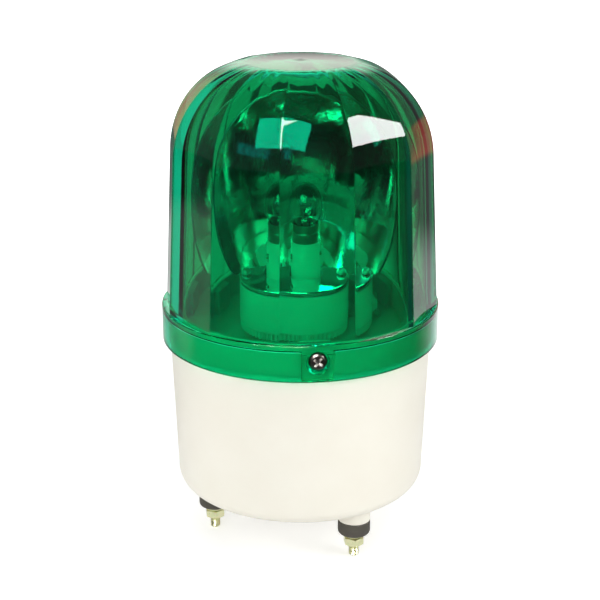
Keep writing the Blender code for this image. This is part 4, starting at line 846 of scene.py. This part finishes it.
# One facet of the lens is modelled, then set round the axis and merged.
def makeLens():
    p = lens
    half = 180 / p["facets"]
    step = 360 / p["flutes"] / 8
    across = [-half + a for a in (0, 0.16, 0.33, 0.7)] + [-half + step * k for k in range(1, int(half / step) + 1)]
    across += [-a for a in reversed(across[:-1])]
    points, faces = [], []
    rows = lensRows()
    for r, z, share, *flute in rows:
        out, up = flute or (0, 0)
        for a in across:
            reach = 1 + share * (facetShape(math.radians(a), p["cornerRound"] / p["radius"]) - 1)
            wave = 0.5 - 0.5 * math.cos(math.radians(a * p["flutes"]))
            points.append((*around(a, r * reach + wave * out), z + wave * up))
    wide = len(across)
    for i in range(len(rows)):
        below, above = i * wide, (i + 1) % len(rows) * wide
        faces += [(below + k, below + k + 1, above + k + 1, above + k) for k in range(wide - 1)]
    shell = grown(plainMesh("lensShell", inMetres(points), faces), roundTree,
                  Count=p["facets"], Turn=0.0, Merge=1e-6, Finish=greenClear)
    welded(shell.data, slivers=True)
    half, seat, out = p["bossWidth"] / 2, p["bossSeat"], p["flangeRadius"]
    hole, well = p["holeRadius"], p["wellRadius"]
    wells, bosses = [], []
    for angle in screwAngles:
        bosses.append(moved(box("boss", (-half, -(out - 1), p["bossBottom"]), (half, -seat, p["bossTop"])),
                            turned(angle)))
        wells.append(moved(spun("well", [
            (0, seat - 1), (hole, seat - 1), (hole, p["wellFloor"]), (well - 0.5, p["wellFloor"], 0.3),
            (well - 0.2, out - 0.9), (well + 0.5, out + 0.6), (0, out + 0.6)], 48),
            screwTurn(angle, p["screwHeight"])))
    carved(shell, bosses, "UNION")
    carved(shell, wells)
    finished(shell, greenClear, "housing", "green_lens", "lens")


makeLens()
print("lens is made")


# Base housing

housing = {
    "bottom": 21.8, "inside": 24.4, "top": 90.1, "topRadius": 50.0, "bottomRadius": 47.495, "wall": 2.4,
    "cornerRound": 5.6, "innerRound": 3.2, "footCircle": 34.1, "footAngles": (30, 150, 270),
    "hexWidth": 7.6, "hexTop": 30.0, "ribFoot": 44.0, "ribBend": (46.6, 30.0), "ribTop": (48.4, 77.7),
    "notchWidth": 11.6, "notchDepth": 2.0, "notchHeight": 9.2, "rimBossWidth": 12.0, "rimBossHeight": 8.8,
    "rimBossInner": 41.1, "slotCount": 8, "slotWidth": 1.8, "slotStart": 4.0, "slotLength": 7.5,
    "sirenOffset": 7.0, "earReach": 20.6, "cableOffset": 19.5,
    # bars and holes: radius, low, high and sides
    "footBoss": (6.2, 15.2, 28.0, 56), "boltHole": (2.25, 10, 30, 32), "post": (4.0, 23.4, 81.7, 32),
    "postHole": (smallHole, 72.7, 83, 24), "lensScrewHole": (2.2, 39, 52, 32), "sirenBoss": (3.4, 23.4, 28.4, 32),
    "sirenHole": (smallHole, 23.1, 30, 24), "cableHole": (6.5, 20, 26, 64),
}


# A long hole with round ends, its length along Y.
def slotOutline(width, start, end, steps=8):
    half = width / 2
    ends = [(half * math.cos(math.pi * i / steps), end - half + half * math.sin(math.pi * i / steps))
            for i in range(steps + 1)]
    return ends + [(-x, start + end - y) for x, y in ends]


def makeHousing():
    h = housing
    wall, top, outer, foot, inside = h["wall"], h["top"], h["topRadius"], h["bottomRadius"], h["inside"]
    shell = spun("housingShell", [
        (0, h["bottom"]), (foot, h["bottom"], h["cornerRound"]), (outer, top, 0.35), (outer - wall, top, 0.35),
        (foot - wall, inside, h["innerRound"]), (0, inside)], 144, steps=8)
    added, later, holes, deeper = [], [], [], []
    for angle in h["footAngles"]:
        spot = around(angle, h["footCircle"])
        added.append(rod("footBoss", spot, *h["footBoss"], 0.3, 0.35))
        holes.append(rod("boltHole", spot, *h["boltHole"]))
        pocket = prism("hexPocket", hexagon(h["hexWidth"] / math.sqrt(3)), inside, h["hexTop"])
        deeper.append(moved(pocket, shift(*spot) @ turned(angle)))
    for angle, spot in zip(chassisAngles, chassisSpots):
        added.append(rod("post", spot, *h["post"], 0.3))
        (bendReach, bendHeight), (topReach, topHeight) = h["ribBend"], h["ribTop"]
        rib = prism("rib", [
            (-chassisCircle, inside - 1), (-h["ribFoot"], inside - 1), (-bendReach, bendHeight),
            (-topReach, topHeight), (-chassisCircle, topHeight)], -1, 1)
        later.append(moved(rib, turned(angle) @ sideways))
        holes.append(rod("screwHole", spot, *h["postHole"]))
    middle = lens["screwHeight"]
    low, high = middle - h["rimBossHeight"] / 2, middle + h["rimBossHeight"] / 2
    for angle in screwAngles:
        half = h["rimBossWidth"] / 2
        boss = prism("rimBoss", [
            (-(outer - wall / 2), low), (-h["rimBossInner"], low), (-h["rimBossInner"], high),
            (-(outer - wall - 1.2), high), (-(outer - wall - 1.2), top - 0.3), (-(outer - wall / 2), top - 0.3)],
            -half, half)
        added.append(moved(boss, turned(angle) @ sideways))
        half = h["notchWidth"] / 2
        holes.append(moved(box("notch", (-half, -60, top - h["notchHeight"]),
                               (half, -(outer - h["notchDepth"]), top + 1.5)), turned(angle)))
        deeper.append(moved(rod("lensScrewHole", (0, 0), *h["lensScrewHole"]), screwTurn(angle, middle)))
    for side in (-1, 1):
        spot = (side * h["earReach"], -h["sirenOffset"])
        added.append(rod("sirenBoss", spot, *h["sirenBoss"], 0.3))
        holes.append(rod("sirenHole", spot, *h["sirenHole"]))
    slot = prism("soundSlot", slotOutline(h["slotWidth"], h["slotStart"], h["slotStart"] + h["slotLength"]), 20, 26)
    grown(slot, roundTree, Count=h["slotCount"], Turn=0.0, Merge=0.0)
    holes.append(moved(slot, shift(y=-h["sirenOffset"])))
    holes.append(rod("cableHole", (0, h["cableOffset"]), *h["cableHole"]))
    carved(shell, added, "UNION")
    carved(shell, later, "UNION")
    carved(shell, holes)
    carved(shell, deeper)
    finished(shell, creamPlastic, "housing", "cream_housing", "base_housing")


seal = {"bore": 47.1, "outer": 50.36, "skirtBore": 50.08, "skirtLow": 83.0, "low": 90.4, "high": 91.84,
        "lipFoot": 47.9, "lipTip": 47.7, "lipHigh": 94.0}
grommet = {"bore": 3.8, "waist": 6.2, "flange": 7.8, "low": 19.7, "floorLow": 21.5, "floorHigh": 24.7, "high": 26.5}


# A pale seal with a lip that stands up inside the lens and a thin skirt down the outside of the rim.
def makeSeals():
    s, g = seal, grommet
    ring = spun("lensSeal", [
        (s["bore"], s["low"]), (s["skirtBore"], s["low"]), (s["skirtBore"], s["skirtLow"]),
        (s["outer"], s["skirtLow"], 0.1), (s["outer"], s["high"], 0.12), (s["lipFoot"], s["high"], 0.2),
        (s["lipTip"], s["lipHigh"], 0.2), (s["bore"], s["lipHigh"], 0.2)], 144)
    half = housing["rimBossWidth"] / 2 + 0.3
    carved(ring, [moved(box("gap", (-half, -53, 80), (half, -s["lipFoot"], 92)), turned(angle))
                  for angle in screwAngles])
    finished(ring, paleSilicone, "housing", "cream_housing", "lens_gasket")
    plug = spun("cableGrommet", [
        (g["bore"], g["low"], 0.4), (g["flange"], g["low"], 0.6), (g["flange"], g["floorLow"], 0.3),
        (g["waist"], g["floorLow"]), (g["waist"], g["floorHigh"]), (g["flange"], g["floorHigh"], 0.3),
        (g["flange"], g["high"], 0.6), (g["bore"], g["high"], 0.4)], 72)
    moved(plug, shift(y=housing["cableOffset"]))
    finished(plug, blackRubber, "housing", "black_rubber", "cable_grommet")


makeHousing()
makeSeals()
print("housing is made")


# Feet

foot = {
    "rubberRadius": 6.2, "rubberLow": 9.4, "rubberHigh": 14.9, "rubberRound": 1.5, "bore": 2.25,
    "studRadius": 1.95, "studTop": 27.5, "headLow": 24.7, "pitch": 0.7, "threadDepth": 0.3, "threadTop": 12.0,
    "rings": 150, "ringStep": 0.0875, "hexWidth": 7.0, "nutLow": 4.7, "nutHigh": 7.9,
    "washerLow": 8.2, "washerHigh": 9.1, "washerRadius": 3.8, "washerRise": 0.22,
}


# A hexagon with its corners turned off at 30 degrees at both ends, and a bevelled hole.
def hexNut(name, low, high, width, hole, chamfer=0.18):
    corner, flat = width / math.sqrt(3), width / 2 - chamfer
    rise = (corner - width / 2 + chamfer) * math.tan(math.radians(30))
    nut = prism(name, hexagon(corner), low, high)
    cone = spun("cone", [(0, low), (flat, low), (corner, low + rise), (corner, high - rise), (flat, high),
                         (0, high)], 72)
    carved(nut, [cone], "INTERSECT", 20)
    if hole:
        drill = spun("drill", [
            (0, low - 1), (hole + 1, low - 1), (hole + 0.35, low - 0.05), (hole, low + 0.3), (hole, high - 0.3),
            (hole + 0.35, high + 0.05), (hole + 1, high + 1), (0, high + 1)], 40)
        carved(nut, [drill], angle=20)
    return nut


# One turn of square wire, its ends a little apart in height.
def makeSpringWasher():
    f = foot
    steps, rise, bore, outer, bevel = 64, f["washerRise"], f["bore"], f["washerRadius"], 0.12
    points, faces = [], []
    for i in range(steps + 1):
        climb = rise * i / steps
        low, high = f["washerLow"] + climb, f["washerHigh"] - rise + climb
        points += [(*around(6 + 348 * i / steps, r), z) for r, z in (
            (bore, low), (outer - bevel, low), (outer, low + bevel),
            (outer, high - bevel), (outer - bevel, high), (bore, high))]
    for i in range(steps):
        faces += sidesOf(6, 6 * i)
    faces += [tuple(range(6)), tuple(range(6 * steps, 6 * steps + 6))]
    return fromPoints("washer", inMetres(points), faces)


def makeFeet():
    f = foot
    radius, bevel, high = f["studRadius"], 0.45, f["studTop"] - 2
    rows = [(0, 0), (radius - bevel, 0), *((radius, bevel + f["ringStep"] * k) for k in range(f["rings"])),
            (radius, high), (0, high)]
    stud = grown(spun("stud", rows, 36), threadTree, Pitch=f["pitch"] * mm, Depth=f["threadDepth"] * mm,
                 Low=0.25 * mm, High=f["threadTop"] * mm)
    head = hexNut("head", f["headLow"], f["studTop"], f["hexWidth"], 0)
    rubber = spun("rubber", [
        (f["bore"], f["rubberLow"], 0.3), (f["rubberRadius"], f["rubberLow"], f["rubberRound"]),
        (f["rubberRadius"], f["rubberHigh"], 0.3), (f["bore"], f["rubberHigh"])], 72, steps=6)
    nut = hexNut("nut", f["nutLow"], f["nutHigh"], f["hexWidth"], f["bore"] - 0.2)
    patterns = (
        (soften(joined("stud", [stud, head]), 50), "footStud", "foot_bolt", yellowZinc, "yellow_zinc"),
        (nut, "footNut", "foot_nut", yellowZinc, "yellow_zinc"),
        (makeSpringWasher(), "springWasher", "foot_washer", yellowZinc, "yellow_zinc"),
        (rubber, "rubberFoot", "rubber_foot", blackRubber, "black_rubber"))
    for number, angle in enumerate(housing["footAngles"], 1):
        place = turned(angle) @ shift(y=-housing["footCircle"])
        for pattern, name, node, finish, slot in patterns:
            piece = moved(onScene(f"{name}{number}", pattern.data.copy()), place)
            finished(piece, finish, "housing", slot, f"{node}_{number}")
    for pattern in patterns:
        bpy.data.objects.remove(pattern[0])


makeFeet()
print("feet are made")


# Screws

screws = {
    # cross is its reach, half width and depth
    "lens": {"seat": 50.4, "radius": 3.3, "height": 1.9, "shank": 1.9, "length": 8.2, "cross": (2.05, 0.95, 1.2)},
    "small": {"radius": 2.7, "height": 1.7, "shank": 1.4, "length": 9.0, "cross": (1.7, 0.8, 1.1)},
}


# A pan head screw that stands on its seat, with a tapered cross recess.
def panScrew(name, shape, seat):
    radius, height, shank, tip = shape["radius"], shape["height"], shape["shank"], seat - shape["length"]
    top = seat + height
    screw = spun(name, [
        (0, tip), (shank * 0.4, tip), (shank, tip + shank), (shank, seat), (radius, seat, 0.15),
        (radius, seat + height * 0.55, height * 0.35), (radius * 0.72, top, 0.5), (0, top)], 48, steps=5)
    reach, half, depth = shape["cross"]
    arms = []
    for angle in (0, 90):
        points = []
        for z, r, w in ((top - depth, reach * 0.42, half * 0.32), (top - 0.25, reach * 0.86, half * 0.46),
                        (top + 0.4, reach * 1.05, half * 0.6)):
            points += [Vector(p) * mm for p in ((-r, -w, z), (r, -w, z), (r, w, z), (-r, w, z))]
        faces = [(0, 1, 2, 3), (8, 9, 10, 11)] + sidesOf(4) + sidesOf(4, 4)
        arms.append(moved(fromPoints("arm", points, faces), turned(angle)))
    carved(arms[0], [arms[1]], "UNION")
    screw.data.materials.clear()
    carved(screw, [arms[0]])
    return screw


# The lens's screws have a dark head whose cross recess is painted bright: a painted highlight.
def makeLensScrews():
    s = screws["lens"]
    top, (reach, half, depth) = s["seat"] + s["height"], s["cross"]
    for number, angle in enumerate(screwAngles, 1):
        screw = panScrew(f"lensScrew{number}", s, s["seat"])
        screw.data.materials.append(darkSteel)
        screw.data.materials.append(highlightRecessSteel)
        # the faces of the cross recess take the painted highlight
        for face in screw.data.polygons:
            c = face.center
            inHead = c.z > (top - depth - 0.05) * mm and math.hypot(c.x, c.y) < reach * 1.02 * mm
            if inHead and (c.z < (top - 0.02) * mm or abs(face.normal.z) < 0.3):
                face.material_index = 1
        moved(screw, screwTurn(angle, lens["screwHeight"]) @ turned(22 + 31 * number))
        finished(screw, None, "housing", "dark_screw", f"lens_screw_{number}")


def makeSmallScrews():
    for name, node, seat, body, finish, spots in (
            ("chassisScrew", "chassis_screw", 84.7, "housing", brightSteel, chassisSpots),
            ("reflectorScrew", "reflector_screw", 105.3, "rotor", brightSteel, rotorSpots),
            ("motorScrew", "motor_screw", 84.7, "housing", greySteel, motorSpots)):
        for number, spot in enumerate(spots, 1):
            screw = panScrew(f"{name}{number}", screws["small"], seat)
            moved(screw, shift(*spot) @ turned(17 * number + 20 * len(name)))
            finished(screw, finish, body, "plain_steel", f"{node}_{number}")


makeLensScrews()
makeSmallScrews()
print("screws are made")


# Rotor: gear cup, reflector and bush

cup = {
    "radius": 24.0, "wall": 1.8, "low": 88.3, "high": 102.7, "web": 2.0, "hubRadius": 9.0, "hubTop": 98.0,
    "hubBore": 7.1, "gearLow": 85.4, "gearHigh": 88.5, "bossRadius": 3.2, "screwFloor": 93.7,
    "bushBore": 5.3, "bushRadius": 6.8,
}
gears = {"module": 0.7, "wheel": 66, "pinion": 13, "addendum": 0.9, "dedendum": 1.25, "rim": 1.6, "fill": 0.8}
motorAngle = 120


# One tooth and its piece of the rim, pointing to the front.
def toothSector(name, teeth, bore, low, high):
    size = gears["module"]
    pitch = size * teeth / 2
    tip, root = pitch + size * gears["addendum"], pitch - size * gears["dedendum"]
    half = math.pi * size / 4 * gears["fill"]
    slope = math.tan(math.radians(20))
    step = math.pi / teeth
    narrow = half - 0.63 * slope * 1.2
    # radius and half angle up the flank
    flank = [(root, (half + size * gears["dedendum"] * slope * 0.8) / root),
             (pitch - 0.3, (half + 0.3 * slope * 0.85) / (pitch - 0.3)), (pitch, half / pitch),
             (pitch + 0.35, (half - 0.35 * slope * 1.1) / (pitch + 0.35)),
             (tip - 0.05, narrow / tip), (tip, (narrow - 0.06) / tip)]
    outer = [(root, -step)] + [(r, -a) for r, a in flank] + [(r, a) for r, a in reversed(flank)] + [(root, step)]
    spots = [around(math.degrees(a), r) for r, a in outer]
    spots += [around(math.degrees(a), bore) for r, a in reversed(outer)]
    count, total = len(outer), len(spots)
    points = inMetres([(x, y, z) for z in (low, high) for x, y in spots])
    faces = [(i, i + 1, total + i + 1, total + i) for i in (*range(count - 1), *range(count, total - 1))]
    for up in (0, total):
        faces += [(up + i, up + i + 1, up + total - 2 - i, up + total - 1 - i) for i in range(count - 1)]
    return plainMesh(name, points, faces)


def toothedRing(name, teeth, bore, low, high, turn):
    ring = grown(toothSector(name, teeth, bore, low, high), roundTree,
                 Count=teeth, Turn=math.radians(turn), Merge=2e-6)
    welded(ring.data, 1e-6)
    return ring


def makeCup():
    c = cup
    root = gears["module"] * (gears["wheel"] / 2 - gears["dedendum"])
    ring = toothedRing("gearCup", gears["wheel"], root - gears["rim"], c["gearLow"], c["gearHigh"],
                       motorAngle + 180 / gears["wheel"])
    outer, inner, web = c["radius"], c["radius"] - c["wall"], c["low"] + c["web"]
    bowl = spun("bowl", [
        (c["hubBore"], c["low"]), (outer, c["low"], 0.5), (outer, c["high"], 0.4), (inner, c["high"], 0.4),
        (inner, web, 0.8), (c["hubRadius"], web, 0.8), (c["hubRadius"], c["hubTop"], 0.3),
        (c["hubBore"], c["hubTop"])], 120)
    bosses = [rod("boss", spot, c["bossRadius"], c["low"] + 1, c["high"], 32, 0.2) for spot in rotorSpots]
    holes = [rod("hole", spot, smallHole, c["screwFloor"], 104, 24) for spot in rotorSpots]
    carved(bowl, bosses, "UNION")
    carved(ring, [bowl], "UNION")
    carved(ring, holes)
    finished(ring, whiteNylon, "rotor", "white_plastic", "drive_gear")
    bush = ringOf("hubBush", c["bushBore"], c["bushRadius"], c["low"], c["hubTop"], 64, 0.2)
    finished(bush, plainBrass, "rotor", "brass", "rotor_bush")


reflector = {
    "focus": 20.0, "radius": 40.0, "wall": 1.2, "lip": 1.2, "focusHeight": 134.0, "floorLow": 103.0,
    "floorHigh": 105.0, "floorRadius": 24.0, "lampHole": 8.75, "webSpread": 9.0, "webHeight": 12.0, "webThick": 1.6,
}


def bowlDepth(x, height):
    rise = height - reflector["focusHeight"]
    return reflector["focus"] - (x * x + rise * rise) / (4 * reflector["focus"])


# The bowl's section: its front, the lip round its edge and its back.
def bowlOutline():
    p = reflector
    steps = 40
    front, back = [], []
    for i in range(steps + 1):
        r = p["radius"] * i / steps
        depth = r * r / (4 * p["focus"])
        slope = r / (2 * p["focus"])
        length = math.hypot(1, slope)
        front.append((r, depth))
        back.append((r + p["wall"] * slope / length, depth - p["wall"] / length))
    edge, reach = front[-1][1], p["radius"] + p["lip"]
    lip = [(p["radius"] + 0.5, edge, 0.15), (reach, edge - 0.25, 0.2), (reach, edge - p["lip"], 0.2)]
    return front + lip + [b for b in reversed(back) if b[1] < edge - p["lip"] and b[0] < reach - 0.3]


# A parabolic bowl with the lamp at its focus, cut off by a level mirror floor.
def makeReflector():
    p = reflector
    low, high, outer, hole, thick = p["floorLow"], p["floorHigh"], p["floorRadius"], p["lampHole"], p["webThick"]
    middle, webTop = (low + high) / 2, high + p["webHeight"]
    bowl = spun("mirrorBowl", bowlOutline(), 160, steps=3, angle=40)
    moved(bowl, shift(y=p["focus"], z=p["focusHeight"]) @ turned(90, "X"))
    carved(bowl, [box("below", (-60, -60, 60), (60, 60, middle))])
    webs = []
    for x in (-p["webSpread"], p["webSpread"]):
        web = prism("web", [
            (bowlDepth(x, high) + p["wall"] / 2, middle), (math.sqrt(outer ** 2 - x * x) - thick, middle),
            (bowlDepth(x, webTop) + p["wall"] * 0.7, webTop)], -thick / 2, thick / 2)
        webs.append(moved(web, shift(x=x) @ sideways))
    carved(bowl, [rod("floor", (0, 0), outer, low, high, 144, 0.5, 0.3)], "UNION", 40)
    carved(bowl, webs, "UNION", 40)
    holes = [spun("lampHole", [
        (0, 100), (hole, 100), (hole, high - 0.7), (hole + 0.9, high + 0.2), (0, high + 0.2)], 72)]
    holes += [rod("screwHole", spot, smallHole, 100, 106, 24) for spot in cupScrews]
    carved(bowl, holes, angle=40)
    bowl.data.materials.clear()
    bowl.data.materials.append(mirrorCoat)
    bowl.data.materials.append(dullLipAndShadowRing)
    # the bevel of the lamp's hole is painted dark, a painted shadow round the lamp holder, and the lip is dull
    for face in bowl.data.polygons:
        c = face.center / mm
        bevel = hole - 0.1 < math.hypot(c.x, c.y) < hole + 0.8 and c.z > low + 0.5 and abs(face.normal.z) < 0.99
        onLip = math.hypot(c.x, c.z - p["focusHeight"]) > p["radius"] + 0.05 and c.z > high
        face.material_index = int(bevel or onLip)
    moved(bowl, turned(restTurn))
    finished(bowl, None, "rotor", "chrome_mirror", "reflector")


makeCup()
makeReflector()
print("rotor is made")


# Motor pinion and shaft

motor = {
    "pinionLow": 85.1, "pinionHigh": 88.1, "hubTop": 90.0, "hubRadius": 2.7, "bore": 1.8, "shaftLow": 72.2,
    "shaftHigh": 92.4, "shaftRadius": 1.5, "apart": 0.25,
}


def makePinion():
    m = motor
    bore, hub, foot, top = m["bore"], m["hubRadius"], m["pinionHigh"] - 0.6, m["hubTop"]
    spot = around(motorAngle, gears["module"] * (gears["wheel"] + gears["pinion"]) / 2 + m["apart"])
    ring = toothedRing("pinionGear", gears["pinion"], bore, m["pinionLow"], m["pinionHigh"], motorAngle + 180)
    carved(ring, [spun("hub", [(bore, foot), (hub, foot), (hub, top, 0.3), (bore, top)], 40)], "UNION")
    finished(moved(ring, shift(*spot)), whiteNylon, "driver", "white_plastic", "pinion")
    shaft = rod("motorSpindle", spot, m["shaftRadius"], m["shaftLow"], m["shaftHigh"], 40, 0.3)
    finished(shaft, brightSteel, "driver", "plain_steel", "motor_shaft")


makePinion()


# Chassis

chassis = {
    "bore": 5.3, "radius": 46.9, "low": 82.0, "floor": 84.4, "rim": 94.0, "wall": 1.5,
    "boardSpots": ((-34, -6), (-7, 17)), "slotTop": 93.1,
    # radius, low, high and sides
    "standoff": (2.8, 74, 83, 28), "standoffHole": (smallHole, 73, 81, 20), "screwHole": (smallHole, 81, 86, 24),
    "shaftHole": (3.5, 81, 86, 32),
}
post = {"bore": 3.6, "radius": 5.0, "foot": 9.0, "low": 79.7, "footTop": 81.7, "high": 98.7,
        "nutLow": 84.7, "nutHigh": 87.1, "nutWidth": 13.0, "nutBore": 5.3, "washerLow": 87.4, "washerHigh": 88.0,
        "washerRadius": 8.6}


def makeChassis():
    c = chassis
    outer, inner = c["radius"], c["radius"] - c["wall"]
    tray = spun("chassisTray", [
        (c["bore"], c["low"]), (outer, c["low"], 0.6), (outer, c["rim"], 0.4), (inner, c["rim"], 0.4),
        (inner, c["floor"], 1.0), (c["bore"], c["floor"])], 144)
    added = [rod("standoff", spot, *c["standoff"]) for spot in c["boardSpots"]]
    holes = [rod("hole", spot, *c["standoffHole"]) for spot in c["boardSpots"]]
    holes += [rod("hole", spot, *c["screwHole"]) for spot in chassisSpots + motorSpots]
    holes.append(rod("hole", boxMiddle("motor_shaft"), *c["shaftHole"]))
    half, reach = housing["rimBossWidth"] / 2 + 0.6, housing["rimBossInner"]
    added += [moved(box("hood", (-half - 0.8, -(outer - 0.7), c["floor"] - 1),
                        (half + 0.8, -(reach - 1.3), c["rim"] - 0.2)), turned(angle)) for angle in screwAngles[1:]]
    holes += [moved(box("slot", (-half, -53, 81), (half, -(reach - 0.6), c["slotTop"])), turned(angle))
              for angle in screwAngles]
    carved(tray, added, "UNION")
    carved(tray, holes)
    finished(tray, chassisPlastic, "housing", "black_plastic", "chassis")


# The hollow post that the rotor turns on, its nut and the washer under the bush.
def makePost():
    p = post
    bar = spun("lampPost", [
        (p["bore"], p["low"]), (p["foot"], p["low"], 0.3), (p["foot"], p["footTop"], 0.3),
        (p["radius"], p["footTop"]), (p["radius"], p["high"], 0.3), (p["bore"], p["high"])], 64)
    finished(bar, brightSteel, "housing", "plain_steel", "lamp_post")
    nut = hexNut("postNut", p["nutLow"], p["nutHigh"], p["nutWidth"], p["nutBore"])
    finished(nut, brightSteel, "housing", "plain_steel", "post_nut")
    washer = ringOf("thrustWasher", p["nutBore"], p["washerRadius"], p["washerLow"], p["washerHigh"], 64, 0.15)
    finished(washer, whiteNylon, "housing", "white_plastic", "thrust_washer")


makeChassis()
makePost()
print("chassis is made")


# Lamp holder and lamp

lamp = {
    "holderRadius": 8.25, "holderWall": 0.45, "holderLow": 99.0, "holderHigh": 118.2, "holderFloor": 100.2,
    "grooveLow": 103.6, "slotWidth": 2.8, "slotDepth": 8.4, "slotTurn": 4.2, "bayonetAngle": 250,
    "leadSpread": 2.1, "capLow": 105.5, "capHigh": 125.1, "capRadius": 7.5, "capWall": 0.5, "capGroove": 121.6,
    "capFloor": 116.0, "pinHeight": 112.1, "pinRadius": 1.0, "pinReach": 8.9, "glassRadius": 9.25,
    "glassMiddle": 131.5, "glassWall": 0.5, "neckRadius": 6.6, "neckLength": 3.4,
    "stem": [(0, 117.2), (4.4, 117.2, 0.3), (3.2, 121.0, 1.2), (1.7, 126.5, 0.5), (2.3, 127.6, 0.5), (0, 128.4)],
    "filamentWidth": 5.6, "filamentTurns": 14, "filamentRadius": 0.42, "wire": 0.09, "support": 0.16,
}


def grooveLine(radius, low, depth):
    return (radius, low, 0.2), (radius - depth, low + 0.4, 0.2), (radius, low + 0.8, 0.2)


def makeHolder():
    p = lamp
    outer, inner, low, high = p["holderRadius"], p["holderRadius"] - p["holderWall"], p["holderLow"], p["holderHigh"]
    shell = spun("lampHolder", [
        (0, low), (outer, low, 0.8), *grooveLine(outer, p["grooveLow"], 0.25), (outer, high, 0.15),
        (inner, high, 0.1), (inner, p["holderFloor"]), (0, p["holderFloor"])], 96)
    half, foot = p["slotWidth"] / 2, high - p["slotDepth"]
    cuts = []
    for side in (0, 180):
        down = box("down", (-half, -(outer + 1), foot), (half, -(inner - 0.5), high + 1))
        across = box("across", (-half, -(outer + 1), foot), (half + p["slotTurn"], -inner / 2, p["pinHeight"] + half))
        cuts.append(moved(carved(down, [across], "UNION"), turned(p["bayonetAngle"] + side)))
        cuts.append(rod("leadHole", (p["leadSpread"] if side else -p["leadSpread"], 0), 1.0, 98, 101, 20))
    carved(shell, cuts)
    finished(shell, holderPlastic, "housing", "white_plastic", "lamp_holder")


def makeCap():
    p = lamp
    radius, inner, low, high = p["capRadius"], p["capRadius"] - p["capWall"], p["capLow"], p["capHigh"]
    cap = spun("lampCap", [
        (0, low), (radius - 1.6, low, 0.3), (radius, low + 1.6, 0.5), *grooveLine(radius, p["capGroove"], 0.22),
        (radius, high, 0.2), (inner, high, 0.2), (inner, p["capFloor"]), (0, p["capFloor"])], 96)
    pins = rod("pins", (0, 0), p["pinRadius"], -p["pinReach"], p["pinReach"], 28, 0.25, 0.25)
    lock = math.degrees(p["slotTurn"] / p["holderRadius"])
    moved(pins, turned(p["bayonetAngle"] + lock) @ shift(z=p["pinHeight"]) @ turned(90, "X"))
    carved(cap, [pins], "UNION")
    # the cap's darkened metal is painted shade
    finished(cap, capMetalPaintedShade, "housing", "nickel", "lamp_cap")


# One side of the bulb's glass, from its open neck to its crown.
def glassLine(radius, neck, bottom, steps=40):
    start = math.asin(neck / radius)
    line = [(neck, bottom)]
    for i in range(steps + 1):
        a = start + (math.pi - start) * i / steps
        line.append((radius * math.sin(a) if i < steps else 0, lamp["glassMiddle"] - radius * math.cos(a)))
    return line


def makeBulb():
    p = lamp
    radius, neck, wall = p["glassRadius"], p["neckRadius"], p["glassWall"]
    bottom = p["glassMiddle"] - math.sqrt(radius ** 2 - neck ** 2) - p["neckLength"]
    inside = glassLine(radius - wall, neck - wall, bottom)
    bulb = spun("lampBulb", glassLine(radius, neck, bottom) + list(reversed(inside)), 96)
    bulb = soften(joined("lampBulb", [bulb, spun("stem", p["stem"], 48)]))
    finished(bulb, lampGlass, "housing", "clear_glass", "lamp_glass")


# A round wire along a smooth curve through the spots.
def bent(name, spots, radius):
    curve = bpy.data.curves.new(name, "CURVE")
    curve.dimensions = "3D"
    line = curve.splines.new("NURBS")
    line.points.add(len(spots) - 1)
    for point, spot in zip(line.points, spots):
        point.co = (*[v * mm for v in spot], 1)
    line.use_endpoint_u = True
    line.order_u = 3
    curve.resolution_u = 8
    curve.bevel_depth = radius * mm
    curve.bevel_resolution = 2
    curve.use_fill_caps = True
    shape = onScene(name, curve)
    mesh = meshOf(shape)
    bpy.data.objects.remove(shape)
    welded(mesh, 1e-6, outwards=False)
    return onScene(name, mesh)


def makeFilament():
    p = lamp
    half, middle = p["filamentWidth"] / 2, p["glassMiddle"]
    coil = grown(onScene("coil", bpy.data.meshes.new("coil")), coilTree, Turns=float(p["filamentTurns"]),
                 Radius=p["filamentRadius"] * mm, Length=p["filamentWidth"] * mm, Wire=p["wire"] * mm, Steps=14)
    wires = [moved(coil, shift(x=-half, z=middle) @ turned(90, "Y"))]
    for x in (-half, half):
        joint = (x * 0.35, 0.3, 127.6)
        support = [joint, (x * 0.6, 0.3, 128.8), (x, 0.2, 130.4), (x, 0, middle + 0.2)]
        leadIn = [(x * 0.8, 0, 116.3), (x * 0.7, 0, 119.5), (x * 0.35, 0.3, 123.0), joint]
        wires += [bent("support", support, p["support"]), bent("leadIn", leadIn, p["support"])]
    wire = soften(joined("lampFilament", wires), 60)
    finished(wire, tungstenWire, "housing", "plain_steel", "lamp_filament")


makeHolder()
makeCap()
makeBulb()
makeFilament()
print("lamp is made")


# CAD pieces that keep their shape

carried = {
    "holder_insulator": brownLaminate, "holder_contact": plainBrass, "lamp_contact": brightSteel,
    "gearbox": brightSteel, "motor_can": brightSteel, "driver_board": boardLacquer, "board_screw_1": brightSteel,
    "board_screw_2": brightSteel, "terminal_block": terminalPlastic, "capacitor": blueSleeve,
    "driver_chip": blackPlastic, "siren_housing": blackPlastic, "siren_ring": greyPlastic, "siren_disc": plainBrass,
    "siren_screw_1": brightSteel, "siren_screw_2": brightSteel, "lamp_lead": redLead, "motor_lead": blueLead,
    "siren_lead": blackLead,
}
for node, material in carried.items():
    cad[node].data.materials.clear()
    cad[node].data.materials.append(material)
print("carried pieces are finished")
